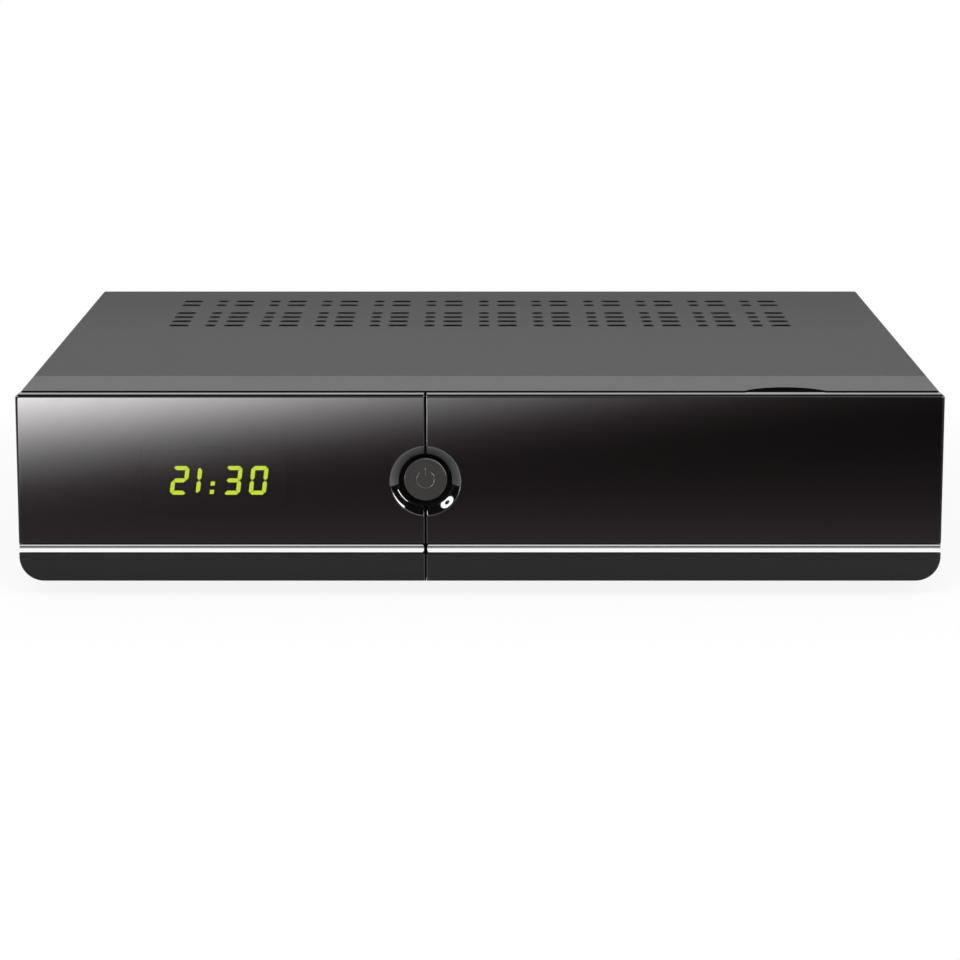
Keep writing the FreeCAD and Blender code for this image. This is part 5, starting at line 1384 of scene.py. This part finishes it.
def soft_lamp(name, place, target, size, watts):
    """A broad lamp that neither the camera nor a mirror sees."""
    lamp = bpy.data.lights.new(name, "AREA")
    lamp.shape = "RECTANGLE"
    lamp.size, lamp.size_y = size
    lamp.energy = watts
    made = bpy.data.objects.new(name, lamp)
    bpy.context.scene.collection.objects.link(made)
    made.location = place
    made.rotation_euler = (Vector(target) - Vector(place)).to_track_quat("-Z", "Y").to_euler()
    made.visible_camera = False
    made.visible_glossy = False


soft_lamp("overhead_lamp", place=(0.05, -0.70, 0.65), target=(0, 0, 0), size=(1.0, 0.6), watts=6)
soft_lamp("front_lamp", place=(-0.9, -1.8, 1.0), target=(0, 0, 0.03), size=(1.2, 0.8), watts=6)
print("lamps set")

# %% [markdown]
# A gloss black front shows only what stands before it, so its glow is made as in a studio: with a card
# laid in front, brightest at one corner. The card is seen by reflections alone. Its brightness is planned
# on the front, strong at the upper left and faint along the foot, and each point of the card takes the
# brightness of the point of the front that mirrors it to the camera. Light painted into the plastic
# would stay put when the receiver turns, and a real reflection does not.

# %% The card that the gloss front mirrors
CARD_HALF_WIDTH, CARD_NEAR, CARD_FAR, CARD_HEIGHT = 0.26, -0.56, -0.2, 0.0006
BRIGHTEST, FAINTEST = 43.0, 0.045
FALL_RIGHT, FALL_FAR_RIGHT, FALL_DOWN, FALL_FAR_DOWN, FALL_BOTH = 0.669, 0.439, 0.539, 0.204, 0.552
FOOT_LIGHT, FOOT_DOWN, FOOT_POWER, FOOT_LIMIT = 0.96, 4.46, 2.08, 4.7
ROSE_TO_WHITE = (0.1, 3.5)
ROSE, NEARLY_WHITE = (0.88, 0.64, 0.69, 1.0), (1.0, 0.97, 0.975, 1.0)


def seen_by_mirrors_alone(card):
    for ray in ("camera", "diffuse", "transmission", "shadow", "volume_scatter"):
        setattr(card, f"visible_{ray}", False)


def glow_card():
    """Brightest at the corner that the upper left of the front mirrors, dark over the rest."""
    finish = Finish("glow_card")
    across, along, _ = finish.axes()
    reach = (front_plane - along) / (front_plane - CAMERA_Y)
    face_height = CAMERA_Z * reach / (1 + reach)
    face_across = across / (1 + reach)
    right = (face_across - cad_box[0][0]) / (100 * MM)
    down = (cad_box[1][2] - face_height) / (10 * MM)
    fall_right = right * (FALL_RIGHT + FALL_FAR_RIGHT * right)
    fall_down = down * (FALL_DOWN + FALL_FAR_DOWN * down)
    fall = fall_right + fall_down + FALL_BOTH * right * down
    glow = BRIGHTEST * math.e ** (0.0 - fall)
    foot = (down.maths("MINIMUM", down, FOOT_LIMIT) / FOOT_DOWN) ** FOOT_POWER
    both = glow + FAINTEST + FOOT_LIGHT * foot
    return finish.glow(finish.blend(finish.smooth(both, *ROSE_TO_WHITE), ROSE, NEARLY_WHITE), both)


card_corners = flat_corners(CARD_HALF_WIDTH, CARD_NEAR, CARD_FAR, CARD_HEIGHT)
seen_by_mirrors_alone(stage_sheet("glow_card", card_corners, RECTANGLE, glow_card()))
print("card laid")

# %% [markdown]
# The dish of the button is a mirror too. Its lower half looks straight up and to both sides, so a dark
# arch stands over the front for it, with one bright ring-shaped patch high on the left and two bright
# bars low on the right. A brighter band along the arch's front edge lights the round edge of the cap.
# Only reflections see it, as with a studio's black flags and small softboxes. A grey card stands
# on edge above the front, so that the cover behind it never mirrors the bright parts of the arch.

# %% Finish of the dark arch
PATCH_ACROSS, PATCH_ALONG, PATCH_UP = -0.494, -0.282, 0.395
PATCH_EDGE, PATCH_HOLE = (0.175, 0.135), (0.055, 0.085)
OUTER_BAR, OUTER_EDGE = -0.455, (0.055, 0.045)
INNER_BAR, INNER_EDGE = -0.165, (0.035, 0.025)
BARS_RIGHT_OF, BARS_ABOVE = (0.400, 0.415), (0.120, 0.135)
EDGE_BEFORE, EDGE_FADE = (-0.60, -0.63), (-0.40, 0.45)
DARK_GLOW, BRIGHT_GLOW, EDGE_SHARE = 0.02, 34.0, 0.30


def arch_finish():
    finish = Finish("dark_arch")
    across, along, up = finish.axes()
    aside, aback, above = across - PATCH_ACROSS, along - PATCH_ALONG, up - PATCH_UP
    from_patch = (aside * aside + above * above + aback * aback) ** 0.5
    patch = finish.smooth(from_patch, *PATCH_EDGE) * finish.smooth(from_patch, *PATCH_HOLE)
    outer = finish.smooth(abs(along - OUTER_BAR), *OUTER_EDGE)
    inner = finish.smooth(abs(along - INNER_BAR), *INNER_EDGE)
    low_on_the_right = finish.smooth(across, *BARS_RIGHT_OF) * finish.smooth(up, *BARS_ABOVE)
    bars = finish.most([outer, inner]) * low_on_the_right
    edge_light = finish.smooth(along, *EDGE_BEFORE) * finish.smooth(across, *EDGE_FADE)
    bright = finish.most([patch, bars, EDGE_SHARE * edge_light])
    return finish.glow(grey(1.0), DARK_GLOW + BRIGHT_GLOW * bright)


print("bright patch at", (PATCH_ACROSS, PATCH_ALONG, PATCH_UP), "m")

# %% Dark arch and grey card
ARCH_RADIUS, ARCH_NEAR, ARCH_FAR, ARCH_FOOT, ARCH_STEPS = 0.60, -0.80, 0.12, 0.01, 48
CARD_REACH, CARD_BEHIND, CARD_CLEARANCE = 0.9, 2.5 * MM, 0.5 * MM


def dark_arch():
    """Half a tube over the front."""
    corners = []
    for step in range(ARCH_STEPS + 1):
        turn = math.pi * step / ARCH_STEPS
        for along in (ARCH_NEAR, ARCH_FAR):
            corners.append((-ARCH_RADIUS * math.cos(turn), along, ARCH_FOOT + ARCH_RADIUS * math.sin(turn)))
    faces = [(2 * step, 2 * step + 1, 2 * step + 3, 2 * step + 2) for step in range(ARCH_STEPS)]
    return stage_sheet("dark_arch", corners, faces, arch_finish())


def grey_divider():
    """A card on edge between the arch's light and the cover."""
    behind_front, above_cover = front_plane + CARD_BEHIND, cad_box[1][2] + CARD_CLEARANCE
    corners = [(-CARD_REACH, behind_front, above_cover), (CARD_REACH, behind_front, above_cover),
               (CARD_REACH, behind_front, CARD_REACH), (-CARD_REACH, behind_front, CARD_REACH)]
    return stage_sheet("grey_divider", corners, RECTANGLE, Finish("grey_card").glow(grey(1.0), 0.5))


seen_by_mirrors_alone(dark_arch())
seen_by_mirrors_alone(grey_divider())
print("arch up, with a grey card that keeps its light off the cover")

# %% [markdown]
# ## The colour view
#
# The Standard view shows a colour about as it is written. A film-like view would grey the white floor and
# lift the black front.

# %% Colours as they are written
bpy.context.scene.view_settings.view_transform = "Standard"
print("view:", bpy.context.scene.view_settings.view_transform)
